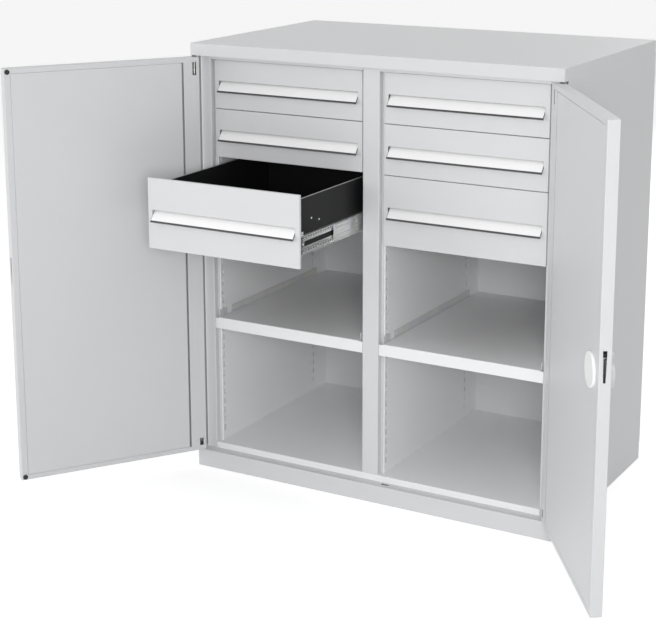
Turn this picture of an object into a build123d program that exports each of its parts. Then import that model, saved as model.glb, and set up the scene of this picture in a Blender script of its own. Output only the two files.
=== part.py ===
from build123d import *
import os
from math import cos, radians, sin

os.makedirs("parts", exist_ok=True)

# A steel cupboard in millimetres: two hinged doors, a middle partition, three drawers a side
# and a shelf under them. The origin is on the floor, in the middle of the plinth.

# Carcass
WIDTH = 1000.0
DEPTH = 620.0
HEIGHT = 1120.0
CARCASS_SHEET = 1.5
CAP_HEIGHT = 31.0
PLINTH_HEIGHT = 46.0
LEDGE_DEPTH = 29.0
PAN_LIP = 60.0
CORNER_RADIUS = 3.0
EDGE_RADIUS = 1.2
CROSS_MEMBER_WIDTH = 60.0

# Walls, posts and the partition
LINER_SHEET = 1.2
SIDE_WALL = 50.0
SIDE_CHANNEL = 11.0
CHANNEL_DEPTH = 20.0
SIDE_POST_WIDTH = 31.0
POST_DEPTH = 17.0
PARTITION_WIDTH = 63.0
PARTITION_POST_WIDTH = 45.0
BACK_WALL = 28.0
FLOOR_RISE = 16.0
HEADER_HEIGHT = 10.5

# Slot rows that the shelf supports hook into, each with a shallow channel behind it
SLOT_WIDTH = 8.0
SLOT_HEIGHT = 14.0
SLOT_PITCH = 25.0
SLOT_ROW_FRONT = 56.0
SLOT_ROW_BACK = 100.0
SLOT_FIRST = 32.8
SLOT_TOP_MARGIN = 28.0
BACKING_WIDTH = 16.0
BACKING_DEPTH = 6.5

# Shelves and the rails that carry them
SHELF_SLOT_INDEX = 12
SHELF_SHEET = 1.2
SHELF_LIP = 30.0
SHELF_GAP = 0.8
SHELF_SETBACK = 2.0
SUPPORT_SHEET = 1.5
SUPPORT_REACH = 14.0
SUPPORT_OVERHANG = 18.0
SUPPORT_RISE = 18.0
SUPPORT_EAR = 34.0
SUPPORT_NOTCH = 20.0
SUPPORT_GAP = 1.5
SUPPORT_HOLE_LENGTH = 10.0
SUPPORT_HOLE_HEIGHT = 4.0
HOOK_RISE = 9.0
HOOK_DROP = 3.0
TONGUE_GAP = 1.0

# Doors
DOOR_THICKNESS = 26.0
DOOR_SHEET = 1.2
DOOR_SIDE_GAP = 2.0
DOOR_CENTRE_GAP = 2.0
DOOR_GAP = 3.0
DOOR_OPEN = 124.0
HINGE_INSET = 7.5
HINGE_SETBACK = 6.5
HINGE_STRIP = 42.0
GROOVE_WIDTH = 5.0
RAIL_STRIP = 12.0
FREE_STRIP = 15.0
PANEL_LAP = 8.0
PANEL_GAP = 1.2
LIFT_HOLE_START = 8.0
LIFT_HOLE_WIDTH = 10.0
UPPER_LIFT_HOLE = 33.0
LOWER_LIFT_HOLE = 20.0

# Hinge pins, bushes and door buffers
PIN_DIAMETER = 8.0
PIN_IN_DOOR = 50.0
BUSH_WALL = 0.8
BUSH_LENGTH = 11.0
RUNNING_FIT = 0.1
AXIAL_GAP = 0.3
BUFFER_DIAMETER = 12.0
BUFFER_EDGE = 8.0

# Lock in the right door
LOCK_HEIGHT = 565.0
LOCK_EDGE = 60.0
LOCK_CASE_WIDTH = 52.0
LOCK_CASE_HEIGHT = 78.0
LOCK_CASE_DEPTH = 20.8
LOCK_SHEET = 1.5
COVER_DIAMETER = 75.0
COVER_HEIGHT = 6.0
ROSETTE_DIAMETER = 77.0
ROSETTE_FLOOR = 2.5
ROSETTE_RIM = 15.0
ROSETTE_ROUND = 2.0
KNOB_DIAMETER = 62.0
KNOB_HEIGHT = 12.8
KNOB_GRIP = 18.0
KNOB_DISH = 8.5
SPINDLE_DIAMETER = 10.0
SPINDLE_GRIP = 3.0
CAM_DIAMETER = 28.0
CAM_THICKNESS = 4.0
CAM_DEPTH = 10.0
CAM_PIN_DIAMETER = 5.0
CAM_PIN_THROW = 9.9
CYLINDER_DIAMETER = 16.0
CYLINDER_DEPTH = 4.0
KEY_SLOT_WIDTH = 1.6
KEY_SLOT_LENGTH = 8.0

# Lock rods, latch hook and their slots
ROD_EDGE = 48.0
ROD_WIDTH = 12.0
ROD_THICKNESS = 4.0
ROD_LAYER = 16.0
ROD_SLOT_GAP = 0.3
ROD_SETBACK = 0.5
PIN_SLOT_GAP = 0.6
HEAD_WALL = 4.0
KEEPER_GAP = 4.0
LATCH_EDGE = 22.0
LATCH_RISE = 35.0
LATCH_LENGTH = 38.0
LATCH_WIDTH = 11.0
LATCH_THICKNESS = 3.0
LATCH_LAYER = 12.5
LATCH_STUD = 6.0
LATCH_COLLAR = 11.0
LATCH_SLOT_LOW = -10.0
LATCH_SLOT_HIGH = 57.0
LATCH_SLOT_TOP_WIDTH = 9.0
LATCH_SLOT_FOOT_WIDTH = 5.0

# Drawer fronts, from the top down
SMALL_FRONT = 123.5
LARGE_FRONT = 173.5
FRONT_GAP = 1.5
FRONT_OVERLAP = 2.25
FRONT_RETURN = 7.0
FRONT_SHEET = 1.2
DRAWER_SETBACK = 38.0
PULLED_OUT = 297.0

# Drawer boxes
BOX_SHEET = 1.2
BOX_LENGTH = 526.0
BOX_TOP_DROP = 15.0
BOX_FOOT_RISE = 24.5
BOX_HEM = 4.0
BOX_HEM_DEPTH = 2.4

# Handles
HANDLE_INSET = 12.5
HANDLE_DROP = 27.5
HANDLE_PROUD = 11.0
HANDLE_RECESS = 10.5
HANDLE_SHEET = 2.0
HANDLE_HOOK = 2.5
HANDLE_LOW = 5.0
HANDLE_CUT_GAP = 0.3
HANDLE_CLEARANCE = 0.8

# Telescopic slides
SLIDE_SPACE = 13.0
SLIDE_HEIGHT = 45.0
SLIDE_LENGTH = 500.0
SLIDE_SETBACK = 27.0
SLIDE_SHEET = 1.2
SLIDE_FIT = 0.4
SLIDE_FLANGE = 8.0
SLIDE_WEB = 7.6
SLIDE_RISE = 2.0
TRACK_HEIGHT = 12.0
TRACK_START = 18.0
TRACK_LENGTH = 150.0
TAB_WIDTH = 14.0
TAB_HEIGHT = 8.0

# Planes that the sizes above give
FRONT = -DEPTH / 2
BACK = DEPTH / 2
HALF_WIDTH = WIDTH / 2
CAP_BOTTOM = HEIGHT - CAP_HEIGHT
FLOOR_TOP = PLINTH_HEIGHT + FLOOR_RISE
POST_FRONT = FRONT + LEDGE_DEPTH
STEP_PLANE = POST_FRONT + POST_DEPTH
BACK_FACE = BACK - BACK_WALL
LINER_X = HALF_WIDTH - SIDE_WALL
POST_OUTER_X = HALF_WIDTH - SIDE_CHANNEL
POST_INNER_X = POST_OUTER_X - SIDE_POST_WIDTH
PARTITION_X = PARTITION_WIDTH / 2
PARTITION_POST_X = PARTITION_POST_WIDTH / 2
SLOT_ROWS = (FRONT + SLOT_ROW_FRONT, BACK - SLOT_ROW_BACK)
SLOT_BASE = FLOOR_TOP + SLOT_FIRST
SLOT_COUNT = int((CAP_BOTTOM - SLOT_TOP_MARGIN - SLOT_BASE) / SLOT_PITCH) + 1
SHELF_SLOT_Z = SLOT_BASE + SHELF_SLOT_INDEX * SLOT_PITCH
SHELF_TOP = SHELF_SLOT_Z + HOOK_RISE + SHELF_SHEET

DOOR_BOTTOM = PLINTH_HEIGHT + DOOR_GAP
DOOR_TOP = CAP_BOTTOM - DOOR_GAP
DOOR_WIDTH = HALF_WIDTH - DOOR_SIDE_GAP - DOOR_CENTRE_GAP / 2
HEEL = DOOR_SIDE_GAP - HINGE_INSET
FREE_EDGE = HEEL + DOOR_WIDTH
PANEL_FACE = DOOR_THICKNESS - DOOR_SHEET
PIN_RADIUS = PIN_DIAMETER / 2
BUSH_BORE = PIN_RADIUS + RUNNING_FIT
BUSH_RADIUS = BUSH_BORE + BUSH_WALL

COLUMN_X = (LINER_X + PARTITION_X) / 2
COLUMN_WIDTH = LINER_X - PARTITION_X
FRONT_WIDTH = COLUMN_WIDTH + 2 * FRONT_OVERLAP
BOX_WIDTH = COLUMN_WIDTH - 2 * SLIDE_SPACE
DRAWER_TOP = CAP_BOTTOM - HEADER_HEIGHT - FRONT_GAP
DRAWER_FRONT_Y = FRONT + DRAWER_SETBACK
DRAWER_BACK_Y = DRAWER_FRONT_Y + FRONT_SHEET
HANDLE_SLOPE = (HANDLE_PROUD + HANDLE_RECESS) / HANDLE_DROP
HANDLE_THICK = HANDLE_SHEET * (1 + HANDLE_SLOPE ** 2) ** 0.5
BEHIND_HANDLE = HANDLE_RECESS + HANDLE_THICK + HANDLE_CLEARANCE

CAM_START = radians(45)
ROD_STROKE = 2 * CAM_PIN_THROW * sin(CAM_START)
LOCK_CENTRE = FREE_EDGE - LOCK_EDGE
UPPER_PIN = (LOCK_CENTRE + CAM_PIN_THROW * cos(CAM_START), LOCK_HEIGHT - ROD_STROKE / 2)
LOWER_PIN = (LOCK_CENTRE - CAM_PIN_THROW * cos(CAM_START), LOCK_HEIGHT + ROD_STROKE / 2)
ROD_CENTRE = FREE_EDGE - ROD_EDGE
ROD_X = (ROD_CENTRE - ROD_WIDTH / 2, ROD_CENTRE + ROD_WIDTH / 2)
ROD_DEEP = (ROD_LAYER, ROD_LAYER + ROD_THICKNESS)
ROD_SLOT_X = (ROD_X[0] - ROD_SLOT_GAP, ROD_X[1] + ROD_SLOT_GAP)
ROD_SLOT_DEEP = (ROD_DEEP[0] - ROD_SLOT_GAP, ROD_DEEP[1] + ROD_SLOT_GAP)
LATCH_PIVOT = (FREE_EDGE - LATCH_EDGE, LOCK_HEIGHT + LATCH_RISE)

LEFT = -1
RIGHT = 1
SIDE_NAMES = {LEFT: "left", RIGHT: "right"}


def slab(x, y, z, mode=Mode.ADD):
    """A plate between two x, two y and two z values."""
    with BuildSketch(Plane.XY.offset(min(z))) as outline:
        with Locations(((x[0] + x[1]) / 2, (y[0] + y[1]) / 2)):
            Rectangle(abs(x[1] - x[0]), abs(y[1] - y[0]))
    extrude(outline.sketch, amount=abs(z[1] - z[0]), mode=mode)


def finish(piece, name):
    """Labels a finished piece and writes it under its name."""
    piece.part.label = name
    export_step(piece.part, f"parts/{name}.step")


def door_axis(side):
    """The hinge axis of one door, seen from above."""
    return (side * (HALF_WIDTH - HINGE_INSET), FRONT + HINGE_SETBACK)


def door_plane(side, height):
    """A level plane on one door where it stands open: x runs from the hinge axis to the free edge."""
    x, y = door_axis(side)
    turn = radians(DOOR_OPEN)
    return Plane(origin=(x, y, height), x_dir=(-side * cos(turn), -sin(turn), 0), z_dir=(0, 0, 1))


def door_slab(side, along, deep, z, mode=Mode.ADD):
    """A plate on a door, between two distances from the hinge axis, two depths from the outer face
    and two heights."""
    across = [-side * (depth - HINGE_SETBACK) for depth in deep]
    with BuildSketch(door_plane(side, min(z))) as outline:
        with Locations((sum(along) / 2, sum(across) / 2)):
            Rectangle(abs(along[1] - along[0]), abs(across[1] - across[0]))
    extrude(outline.sketch, amount=abs(z[1] - z[0]), mode=mode)


def face_plane(side, depth):
    """An upright plane in one door at a depth from its outer face: x runs to the free edge, y is up."""
    flat = door_plane(side, 0)
    origin = flat.from_local_coords((0, -side * (depth - HINGE_SETBACK), 0))
    return Plane(origin=origin, x_dir=flat.x_dir, z_dir=flat.x_dir.cross(Vector(0, 0, 1)))


def door_disc(side, centre, radius, deep, mode=Mode.ADD):
    """A round boss or bore through a door, between two depths from the outer face."""
    with BuildSketch(face_plane(side, deep[0])) as circle:
        with Locations(centre):
            Circle(radius)
    extrude(circle.sketch, amount=side * (deep[1] - deep[0]), mode=mode)


KEEPER_X = (DOOR_CENTRE_GAP / 2 + ROD_EDGE - ROD_WIDTH / 2 - KEEPER_GAP,
            DOOR_CENTRE_GAP / 2 + ROD_EDGE + ROD_WIDTH / 2 + KEEPER_GAP)
KEEPER_Y = (FRONT + ROD_LAYER - KEEPER_GAP / 2,
            FRONT + ROD_LAYER + ROD_THICKNESS + KEEPER_GAP / 2)
INSIDE_X = (-HALF_WIDTH + CARCASS_SHEET, HALF_WIDTH - CARCASS_SHEET)
INSIDE_Y = (FRONT + CARCASS_SHEET, BACK - CARCASS_SHEET)


def ledge(z):
    """The lip that is turned in round a tray at one level, with the lock rod's slot and the bush holes."""
    slab((-HALF_WIDTH + PAN_LIP, HALF_WIDTH - PAN_LIP), (FRONT + PAN_LIP, BACK - PAN_LIP), z,
         Mode.SUBTRACT)
    slab(KEEPER_X, KEEPER_Y, z, Mode.SUBTRACT)
    with BuildSketch(Plane.XY.offset(min(z))) as holes:
        with Locations(door_axis(LEFT), door_axis(RIGHT)):
            Circle(BUSH_RADIUS)
    extrude(holes.sketch, amount=CARCASS_SHEET, mode=Mode.SUBTRACT)


# The top cap, a tray open below, with a header strip folded down over each column of drawers
with BuildPart() as top_cap:
    slab((-HALF_WIDTH, HALF_WIDTH), (FRONT, BACK), (CAP_BOTTOM, HEIGHT))
    fillet(top_cap.edges().filter_by(Axis.Z), radius=CORNER_RADIUS)
    fillet(top_cap.faces().sort_by(Axis.Z)[-1].edges(), radius=EDGE_RADIUS)
    slab(INSIDE_X, INSIDE_Y, (CAP_BOTTOM + CARCASS_SHEET, HEIGHT - CARCASS_SHEET), Mode.SUBTRACT)
    ledge((CAP_BOTTOM, CAP_BOTTOM + CARCASS_SHEET))
    for side in (LEFT, RIGHT):
        slab((side * PARTITION_POST_X, side * POST_INNER_X),
             (POST_FRONT, POST_FRONT + CARCASS_SHEET), (CAP_BOTTOM - HEADER_HEIGHT, CAP_BOTTOM))
finish(top_cap, "top_cap")

# The plinth, a tray open to the floor, with a channel across its middle that stands on the floor
with BuildPart() as plinth:
    slab((-HALF_WIDTH, HALF_WIDTH), (FRONT, BACK), (0, PLINTH_HEIGHT))
    fillet(plinth.edges().filter_by(Axis.Z), radius=CORNER_RADIUS)
    slab(INSIDE_X, INSIDE_Y, (0, PLINTH_HEIGHT - CARCASS_SHEET), Mode.SUBTRACT)
    ledge((PLINTH_HEIGHT - CARCASS_SHEET, PLINTH_HEIGHT))
    slab((-CROSS_MEMBER_WIDTH / 2, CROSS_MEMBER_WIDTH / 2), INSIDE_Y, (0, CARCASS_SHEET))
    for side in (LEFT, RIGHT):
        edge = side * CROSS_MEMBER_WIDTH / 2
        slab((edge, edge - side * CARCASS_SHEET), INSIDE_Y, (0, PLINTH_HEIGHT - CARCASS_SHEET))
finish(plinth, "plinth")

# The outer side panels, each doubled over in front as a hem
for side in (LEFT, RIGHT):
    with BuildPart() as side_panel:
        outer = side * HALF_WIDTH
        slab((outer, outer - side * CARCASS_SHEET), (POST_FRONT, BACK), (PLINTH_HEIGHT, CAP_BOTTOM))
        slab((outer, outer - side * 2 * CARCASS_SHEET), (POST_FRONT, POST_FRONT + CHANNEL_DEPTH),
             (PLINTH_HEIGHT, CAP_BOTTOM))
    finish(side_panel, f"{SIDE_NAMES[side]}_side_panel")

# The double back wall, open at its top and bottom
with BuildPart() as back_panel:
    slab(INSIDE_X, (BACK_FACE, BACK), (PLINTH_HEIGHT, CAP_BOTTOM))
    slab((INSIDE_X[0] + LINER_SHEET, INSIDE_X[1] - LINER_SHEET),
         (BACK_FACE + LINER_SHEET, BACK - LINER_SHEET), (PLINTH_HEIGHT, CAP_BOTTOM), Mode.SUBTRACT)
finish(back_panel, "back_panel")


def slot_rows(wall_x, thickness):
    """Cuts both rows of slots through a wall that starts at wall_x and is thickness deep."""
    middle = (sum(SLOT_ROWS) / 2, SLOT_BASE + (SLOT_COUNT - 1) * SLOT_PITCH / 2)
    with BuildSketch(Plane.YZ.offset(wall_x)) as slots:
        with Locations(middle):
            with GridLocations(SLOT_ROWS[1] - SLOT_ROWS[0], SLOT_PITCH, 2, SLOT_COUNT):
                Rectangle(SLOT_WIDTH, SLOT_HEIGHT)
    extrude(slots.sketch, amount=thickness, mode=Mode.SUBTRACT)


def slot_backing(wall_x, outward):
    """A channel behind each row of slots, on the back of a wall whose bay side is at wall_x."""
    channel_z = (SLOT_BASE - SLOT_PITCH / 2, SLOT_BASE + (SLOT_COUNT - 0.5) * SLOT_PITCH)
    web_x = wall_x + outward * BACKING_DEPTH
    for row in SLOT_ROWS:
        edges_y = (row - BACKING_WIDTH / 2, row + BACKING_WIDTH / 2)
        slab((web_x, web_x + outward * LINER_SHEET), edges_y, channel_z)
        for y in ((edges_y[0], edges_y[0] + LINER_SHEET), (edges_y[1] - LINER_SHEET, edges_y[1])):
            slab((wall_x + outward * LINER_SHEET, web_x), y, channel_z)


# The inner walls: each is one sheet folded into the front post and the slotted liner behind it
for side in (LEFT, RIGHT):
    full = (PLINTH_HEIGHT, CAP_BOTTOM)
    post_back = POST_FRONT + LINER_SHEET
    step_back = STEP_PLANE + LINER_SHEET
    with BuildPart() as inner_wall:
        slab((side * POST_INNER_X, side * POST_OUTER_X), (POST_FRONT, post_back), full)
        slab((side * POST_INNER_X, side * (POST_INNER_X + LINER_SHEET)), (POST_FRONT, step_back), full)
        slab((side * LINER_X, side * (POST_INNER_X + LINER_SHEET)), (STEP_PLANE, step_back), full)
        slab((side * LINER_X, side * (LINER_X + LINER_SHEET)), (STEP_PLANE, BACK_FACE), full)
        channel_back = POST_FRONT + CHANNEL_DEPTH
        slab((side * (POST_OUTER_X - LINER_SHEET), side * POST_OUTER_X), (POST_FRONT, channel_back), full)
        slab((side * (POST_OUTER_X - LINER_SHEET), side * (HALF_WIDTH - CARCASS_SHEET)),
             (channel_back, channel_back + LINER_SHEET), full)
        slot_rows(side * LINER_X, side * LINER_SHEET)
        slot_backing(side * LINER_X, side)
    finish(inner_wall, f"{SIDE_NAMES[side]}_inner_wall")

# The middle partition: a narrow front post that widens into two slotted walls, open at the back
with BuildPart() as partition:
    tall = (FLOOR_TOP, CAP_BOTTOM)
    slab((-PARTITION_POST_X, PARTITION_POST_X), (POST_FRONT, STEP_PLANE), tall)
    slab((-PARTITION_X, PARTITION_X), (STEP_PLANE, BACK_FACE), tall)
    slab((-PARTITION_POST_X + LINER_SHEET, PARTITION_POST_X - LINER_SHEET),
         (POST_FRONT + LINER_SHEET, STEP_PLANE + LINER_SHEET), tall, Mode.SUBTRACT)
    slab((-PARTITION_X + LINER_SHEET, PARTITION_X - LINER_SHEET),
         (STEP_PLANE + LINER_SHEET, BACK_FACE), tall, Mode.SUBTRACT)
    slot_rows(-PARTITION_X, PARTITION_WIDTH)
    for side in (LEFT, RIGHT):
        slot_backing(side * PARTITION_X, -side)
finish(partition, "partition")

# The bottom panel: the floor of both bays, with its front lip standing on the plinth
with BuildPart() as base_panel:
    rise = (PLINTH_HEIGHT, FLOOR_TOP)
    under = (PLINTH_HEIGHT, FLOOR_TOP - LINER_SHEET)
    slab((-POST_INNER_X, POST_INNER_X), (POST_FRONT, STEP_PLANE), rise)
    slab((-LINER_X, LINER_X), (STEP_PLANE, BACK_FACE), rise)
    slab((-POST_INNER_X, POST_INNER_X), (POST_FRONT + LINER_SHEET, STEP_PLANE), under, Mode.SUBTRACT)
    slab((-LINER_X, LINER_X), (STEP_PLANE, BACK_FACE - LINER_SHEET), under, Mode.SUBTRACT)
finish(base_panel, "base_panel")

# The shelves, one on each side: a plate between the support rails, with a lip as wide as the bay in front
LIP_X = (PARTITION_POST_X + SHELF_GAP, POST_INNER_X - SHELF_GAP)
PLATE_X = (PARTITION_X + SUPPORT_SHEET + SUPPORT_GAP, LINER_X - SUPPORT_SHEET - SUPPORT_GAP)
SHELF_FRONT = POST_FRONT + SHELF_SETBACK
SHELF_BACK = BACK_FACE - SHELF_GAP
for side in (LEFT, RIGHT):
    with BuildPart() as shelf:
        lip_z = (SHELF_TOP - SHELF_LIP, SHELF_TOP)
        plate_x = (side * PLATE_X[0], side * PLATE_X[1])
        slab(plate_x, (SHELF_FRONT, SHELF_BACK), (SHELF_TOP - SHELF_SHEET, SHELF_TOP))
        slab((side * LIP_X[0], side * LIP_X[1]), (SHELF_FRONT, SHELF_FRONT + SHELF_SHEET), lip_z)
        slab(plate_x, (SHELF_BACK - SHELF_SHEET, SHELF_BACK), lip_z)
    finish(shelf, f"{SIDE_NAMES[side]}_shelf")

# The four support rails: an angle along each wall that hooks through its slots, with an ear in front
SUPPORT_TOP = SHELF_TOP - SHELF_SHEET
SUPPORT_Y = (SLOT_ROWS[0] - SUPPORT_OVERHANG, SLOT_ROWS[1] + SUPPORT_OVERHANG)
EAR_BACK = SUPPORT_Y[0] + SUPPORT_EAR
FLANGE_FRONT = EAR_BACK + SUPPORT_NOTCH
TONGUE = SLOT_WIDTH / 2 - TONGUE_GAP
SLOT_FOOT = SHELF_SLOT_Z - SLOT_HEIGHT / 2
with BuildPart() as shelf_supports:
    for side in (LEFT, RIGHT):
        for wall, into in ((LINER_X, -1), (PARTITION_X, 1)):
            face = side * wall
            inward = side * into
            flange = (face, face + inward * SUPPORT_SHEET)
            slab((face, face + inward * SUPPORT_REACH), SUPPORT_Y, (SUPPORT_TOP - SUPPORT_SHEET, SUPPORT_TOP))
            slab(flange, SUPPORT_Y, (SLOT_FOOT, SUPPORT_TOP))
            for y in ((SUPPORT_Y[0], EAR_BACK), (FLANGE_FRONT, SUPPORT_Y[1])):
                slab(flange, y, (SUPPORT_TOP, SHELF_TOP + SUPPORT_RISE))
            middle = SHELF_TOP + SUPPORT_RISE / 2
            hole_front = FLANGE_FRONT + SUPPORT_HOLE_HEIGHT
            slab(flange, (hole_front, hole_front + SUPPORT_HOLE_LENGTH),
                 (middle - SUPPORT_HOLE_HEIGHT / 2, middle + SUPPORT_HOLE_HEIGHT / 2), Mode.SUBTRACT)
            behind = LINER_SHEET + AXIAL_GAP
            for row in SLOT_ROWS:
                slab((face, face - inward * (behind + SUPPORT_SHEET)), (row - TONGUE, row + TONGUE),
                     (SLOT_FOOT + TONGUE_GAP, SHELF_SLOT_Z))
                slab((face - inward * behind, face - inward * (behind + SUPPORT_SHEET)),
                     (row - TONGUE, row + TONGUE), (SLOT_FOOT - HOOK_DROP, SHELF_SLOT_Z))
finish(shelf_supports, "shelf_supports")

# The four hinge bushes, pressed into the cap's and the plinth's ledges, with a thrust flange
with BuildPart() as hinge_bushes:
    for level, away in ((CAP_BOTTOM, 1), (PLINTH_HEIGHT, -1)):
        sleeve = (BUSH_RADIUS, away * BUSH_LENGTH)
        flange = (BUSH_RADIUS + BUSH_WALL, -away * (DOOR_GAP - AXIAL_GAP))
        for radius, height in (sleeve, flange):
            with BuildSketch(Plane.XY.offset(level)) as rings:
                with Locations(door_axis(LEFT), door_axis(RIGHT)):
                    Circle(radius)
                    Circle(BUSH_BORE, mode=Mode.SUBTRACT)
            extrude(rings.sketch, amount=height)
finish(hinge_bushes, "hinge_bushes")

# The doors. Distances run from the hinge axis to the free edge, and depths from the outer face.
HOLE_START = HEEL + LIFT_HOLE_START
OPENING_START = HEEL + HINGE_STRIP
OPENING_END = FREE_EDGE - FREE_STRIP
OPENING_Z = (DOOR_BOTTOM + RAIL_STRIP, DOOR_TOP - RAIL_STRIP)
PIN_HOLES = ((OPENING_Z[1] - UPPER_LIFT_HOLE, OPENING_Z[1]),
             (OPENING_Z[0], OPENING_Z[0] + LOWER_LIFT_HOLE))


def door_skin(side):
    """The folded outer skin: a deep tray whose inner edges return as a wide hinge strip and three rails."""
    door_slab(side, (HEEL, FREE_EDGE), (0, DOOR_THICKNESS), (DOOR_BOTTOM, DOOR_TOP))
    fillet(edges().filter_by(Axis.Z), radius=EDGE_RADIUS)
    door_slab(side, (HEEL + DOOR_SHEET, FREE_EDGE - DOOR_SHEET), (DOOR_SHEET, PANEL_FACE),
              (DOOR_BOTTOM + DOOR_SHEET, DOOR_TOP - DOOR_SHEET), Mode.SUBTRACT)
    door_slab(side, (OPENING_START, OPENING_END), (PANEL_FACE, DOOR_THICKNESS), OPENING_Z, Mode.SUBTRACT)
    for z in PIN_HOLES:
        door_slab(side, (HOLE_START, HOLE_START + LIFT_HOLE_WIDTH), (PANEL_FACE, DOOR_THICKNESS), z,
                  Mode.SUBTRACT)
    for level in (DOOR_BOTTOM, DOOR_TOP - DOOR_SHEET):
        with BuildSketch(door_plane(side, level)) as bore:
            Circle(PIN_RADIUS)
        extrude(bore.sketch, amount=DOOR_SHEET, mode=Mode.SUBTRACT)


def latch_slot(side):
    """The tapered slot in a door's free edge that the latch hook swings through."""
    depth = LATCH_LAYER + LATCH_THICKNESS / 2
    flat = door_plane(side, LOCK_HEIGHT)
    origin = flat.from_local_coords((FREE_EDGE, -side * (depth - HINGE_SETBACK), 0))
    high = LATCH_SLOT_TOP_WIDTH / 2
    low = LATCH_SLOT_FOOT_WIDTH / 2
    with BuildSketch(Plane(origin=origin, x_dir=flat.y_dir, z_dir=flat.x_dir)) as taper:
        with BuildLine():
            Polyline((-low, LATCH_SLOT_LOW), (low, LATCH_SLOT_LOW), (high, LATCH_SLOT_HIGH),
                     (-high, LATCH_SLOT_HIGH), close=True)
        make_face()
    extrude(taper.sketch, amount=-2 * DOOR_SHEET, mode=Mode.SUBTRACT)


with BuildPart() as left_door_skin:
    door_skin(LEFT)
    latch_slot(LEFT)
finish(left_door_skin, "left_door_skin")

with BuildPart() as right_door_skin:
    door_skin(RIGHT)
    latch_slot(RIGHT)
    for z in ((DOOR_BOTTOM, DOOR_BOTTOM + DOOR_SHEET), (DOOR_TOP - DOOR_SHEET, DOOR_TOP)):
        door_slab(RIGHT, ROD_SLOT_X, ROD_SLOT_DEEP, z, Mode.SUBTRACT)
    door_disc(RIGHT, (LOCK_CENTRE, LOCK_HEIGHT), SPINDLE_DIAMETER / 2 + RUNNING_FIT, (0, DOOR_SHEET),
              Mode.SUBTRACT)
finish(right_door_skin, "right_door_skin")

# The inner panels: a face level with the strips, folded down along the groove and lapped under the rails
for side in (LEFT, RIGHT):
    with BuildPart() as inner_panel:
        groove_end = OPENING_START + GROOVE_WIDTH
        lap_face = PANEL_FACE - DOOR_SHEET
        door_slab(side, (groove_end, OPENING_END - PANEL_GAP), (PANEL_FACE, DOOR_THICKNESS),
                  (OPENING_Z[0] + PANEL_GAP, OPENING_Z[1] - PANEL_GAP))
        door_slab(side, (groove_end, OPENING_END + PANEL_LAP), (lap_face, PANEL_FACE),
                  (OPENING_Z[0] - PANEL_LAP, OPENING_Z[1] + PANEL_LAP))
        door_slab(side, (groove_end, groove_end + DOOR_SHEET), (DOOR_SHEET, lap_face), OPENING_Z)
    finish(inner_panel, f"{SIDE_NAMES[side]}_door_inner_panel")

# The hinge pins, two in each door, that stand out of its ends into the bushes
for side in (LEFT, RIGHT):
    reach = DOOR_GAP + BUSH_LENGTH
    with BuildPart() as hinge_pins:
        for low, high in ((DOOR_TOP - PIN_IN_DOOR, DOOR_TOP + reach),
                          (DOOR_BOTTOM - reach, DOOR_BOTTOM + PIN_IN_DOOR)):
            with BuildSketch(door_plane(side, low)) as circle:
                Circle(PIN_RADIUS)
            extrude(circle.sketch, amount=high - low)
        chamfer(hinge_pins.edges().filter_by(GeomType.CIRCLE), length=EDGE_RADIUS / 2)
    finish(hinge_pins, f"{SIDE_NAMES[side]}_door_hinge_pins")

# The left door's round buffers, near the top and the bottom of its free edge
with BuildPart() as door_buffers:
    for level in (DOOR_BOTTOM + BUFFER_EDGE, DOOR_TOP - BUFFER_EDGE):
        door_disc(LEFT, (FREE_EDGE - BUFFER_EDGE, level), BUFFER_DIAMETER / 2,
                  (DOOR_THICKNESS, LEDGE_DEPTH - AXIAL_GAP))
finish(door_buffers, "left_door_buffers")

# The lock case behind the skin: a box with the latch's stud on its base plate
CASE_X = (LOCK_CENTRE - LOCK_CASE_WIDTH / 2, LOCK_CENTRE + LOCK_CASE_WIDTH / 2)
CASE_Z = (LOCK_HEIGHT - LOCK_CASE_HEIGHT / 2, LOCK_HEIGHT + LOCK_CASE_HEIGHT / 2)
CASE_DEEP = (DOOR_SHEET, DOOR_SHEET + LOCK_CASE_DEPTH)
STUD_RADIUS = LATCH_STUD / 2
with BuildPart() as lock_case:
    door_slab(RIGHT, CASE_X, CASE_DEEP, CASE_Z)
    door_slab(RIGHT, (CASE_X[0] + LOCK_SHEET, CASE_X[1] - LOCK_SHEET),
              (CASE_DEEP[0] + LOCK_SHEET, CASE_DEEP[1] - LOCK_SHEET),
              (CASE_Z[0] + LOCK_SHEET, CASE_Z[1] - LOCK_SHEET), Mode.SUBTRACT)
    door_slab(RIGHT, ROD_SLOT_X, ROD_SLOT_DEEP, CASE_Z, Mode.SUBTRACT)
    door_disc(RIGHT, (LOCK_CENTRE, LOCK_HEIGHT), SPINDLE_DIAMETER / 2 + RUNNING_FIT,
              (CASE_DEEP[0], CASE_DEEP[0] + LOCK_SHEET), Mode.SUBTRACT)
    door_slab(RIGHT, (CASE_X[1] - LOCK_SHEET, LATCH_PIVOT[0] + LATCH_COLLAR / 2),
              (CASE_DEEP[0], CASE_DEEP[0] + LOCK_SHEET),
              (LATCH_PIVOT[1] - LATCH_COLLAR, min(CASE_Z[1], LATCH_PIVOT[1] + LATCH_COLLAR / 2)))
    door_disc(RIGHT, LATCH_PIVOT, LATCH_COLLAR / 2, (CASE_DEEP[0], LATCH_LAYER - AXIAL_GAP))
    door_disc(RIGHT, LATCH_PIVOT, STUD_RADIUS, (CASE_DEEP[0], LATCH_LAYER + LATCH_THICKNESS + STUD_RADIUS))
finish(lock_case, "lock_case")

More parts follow.
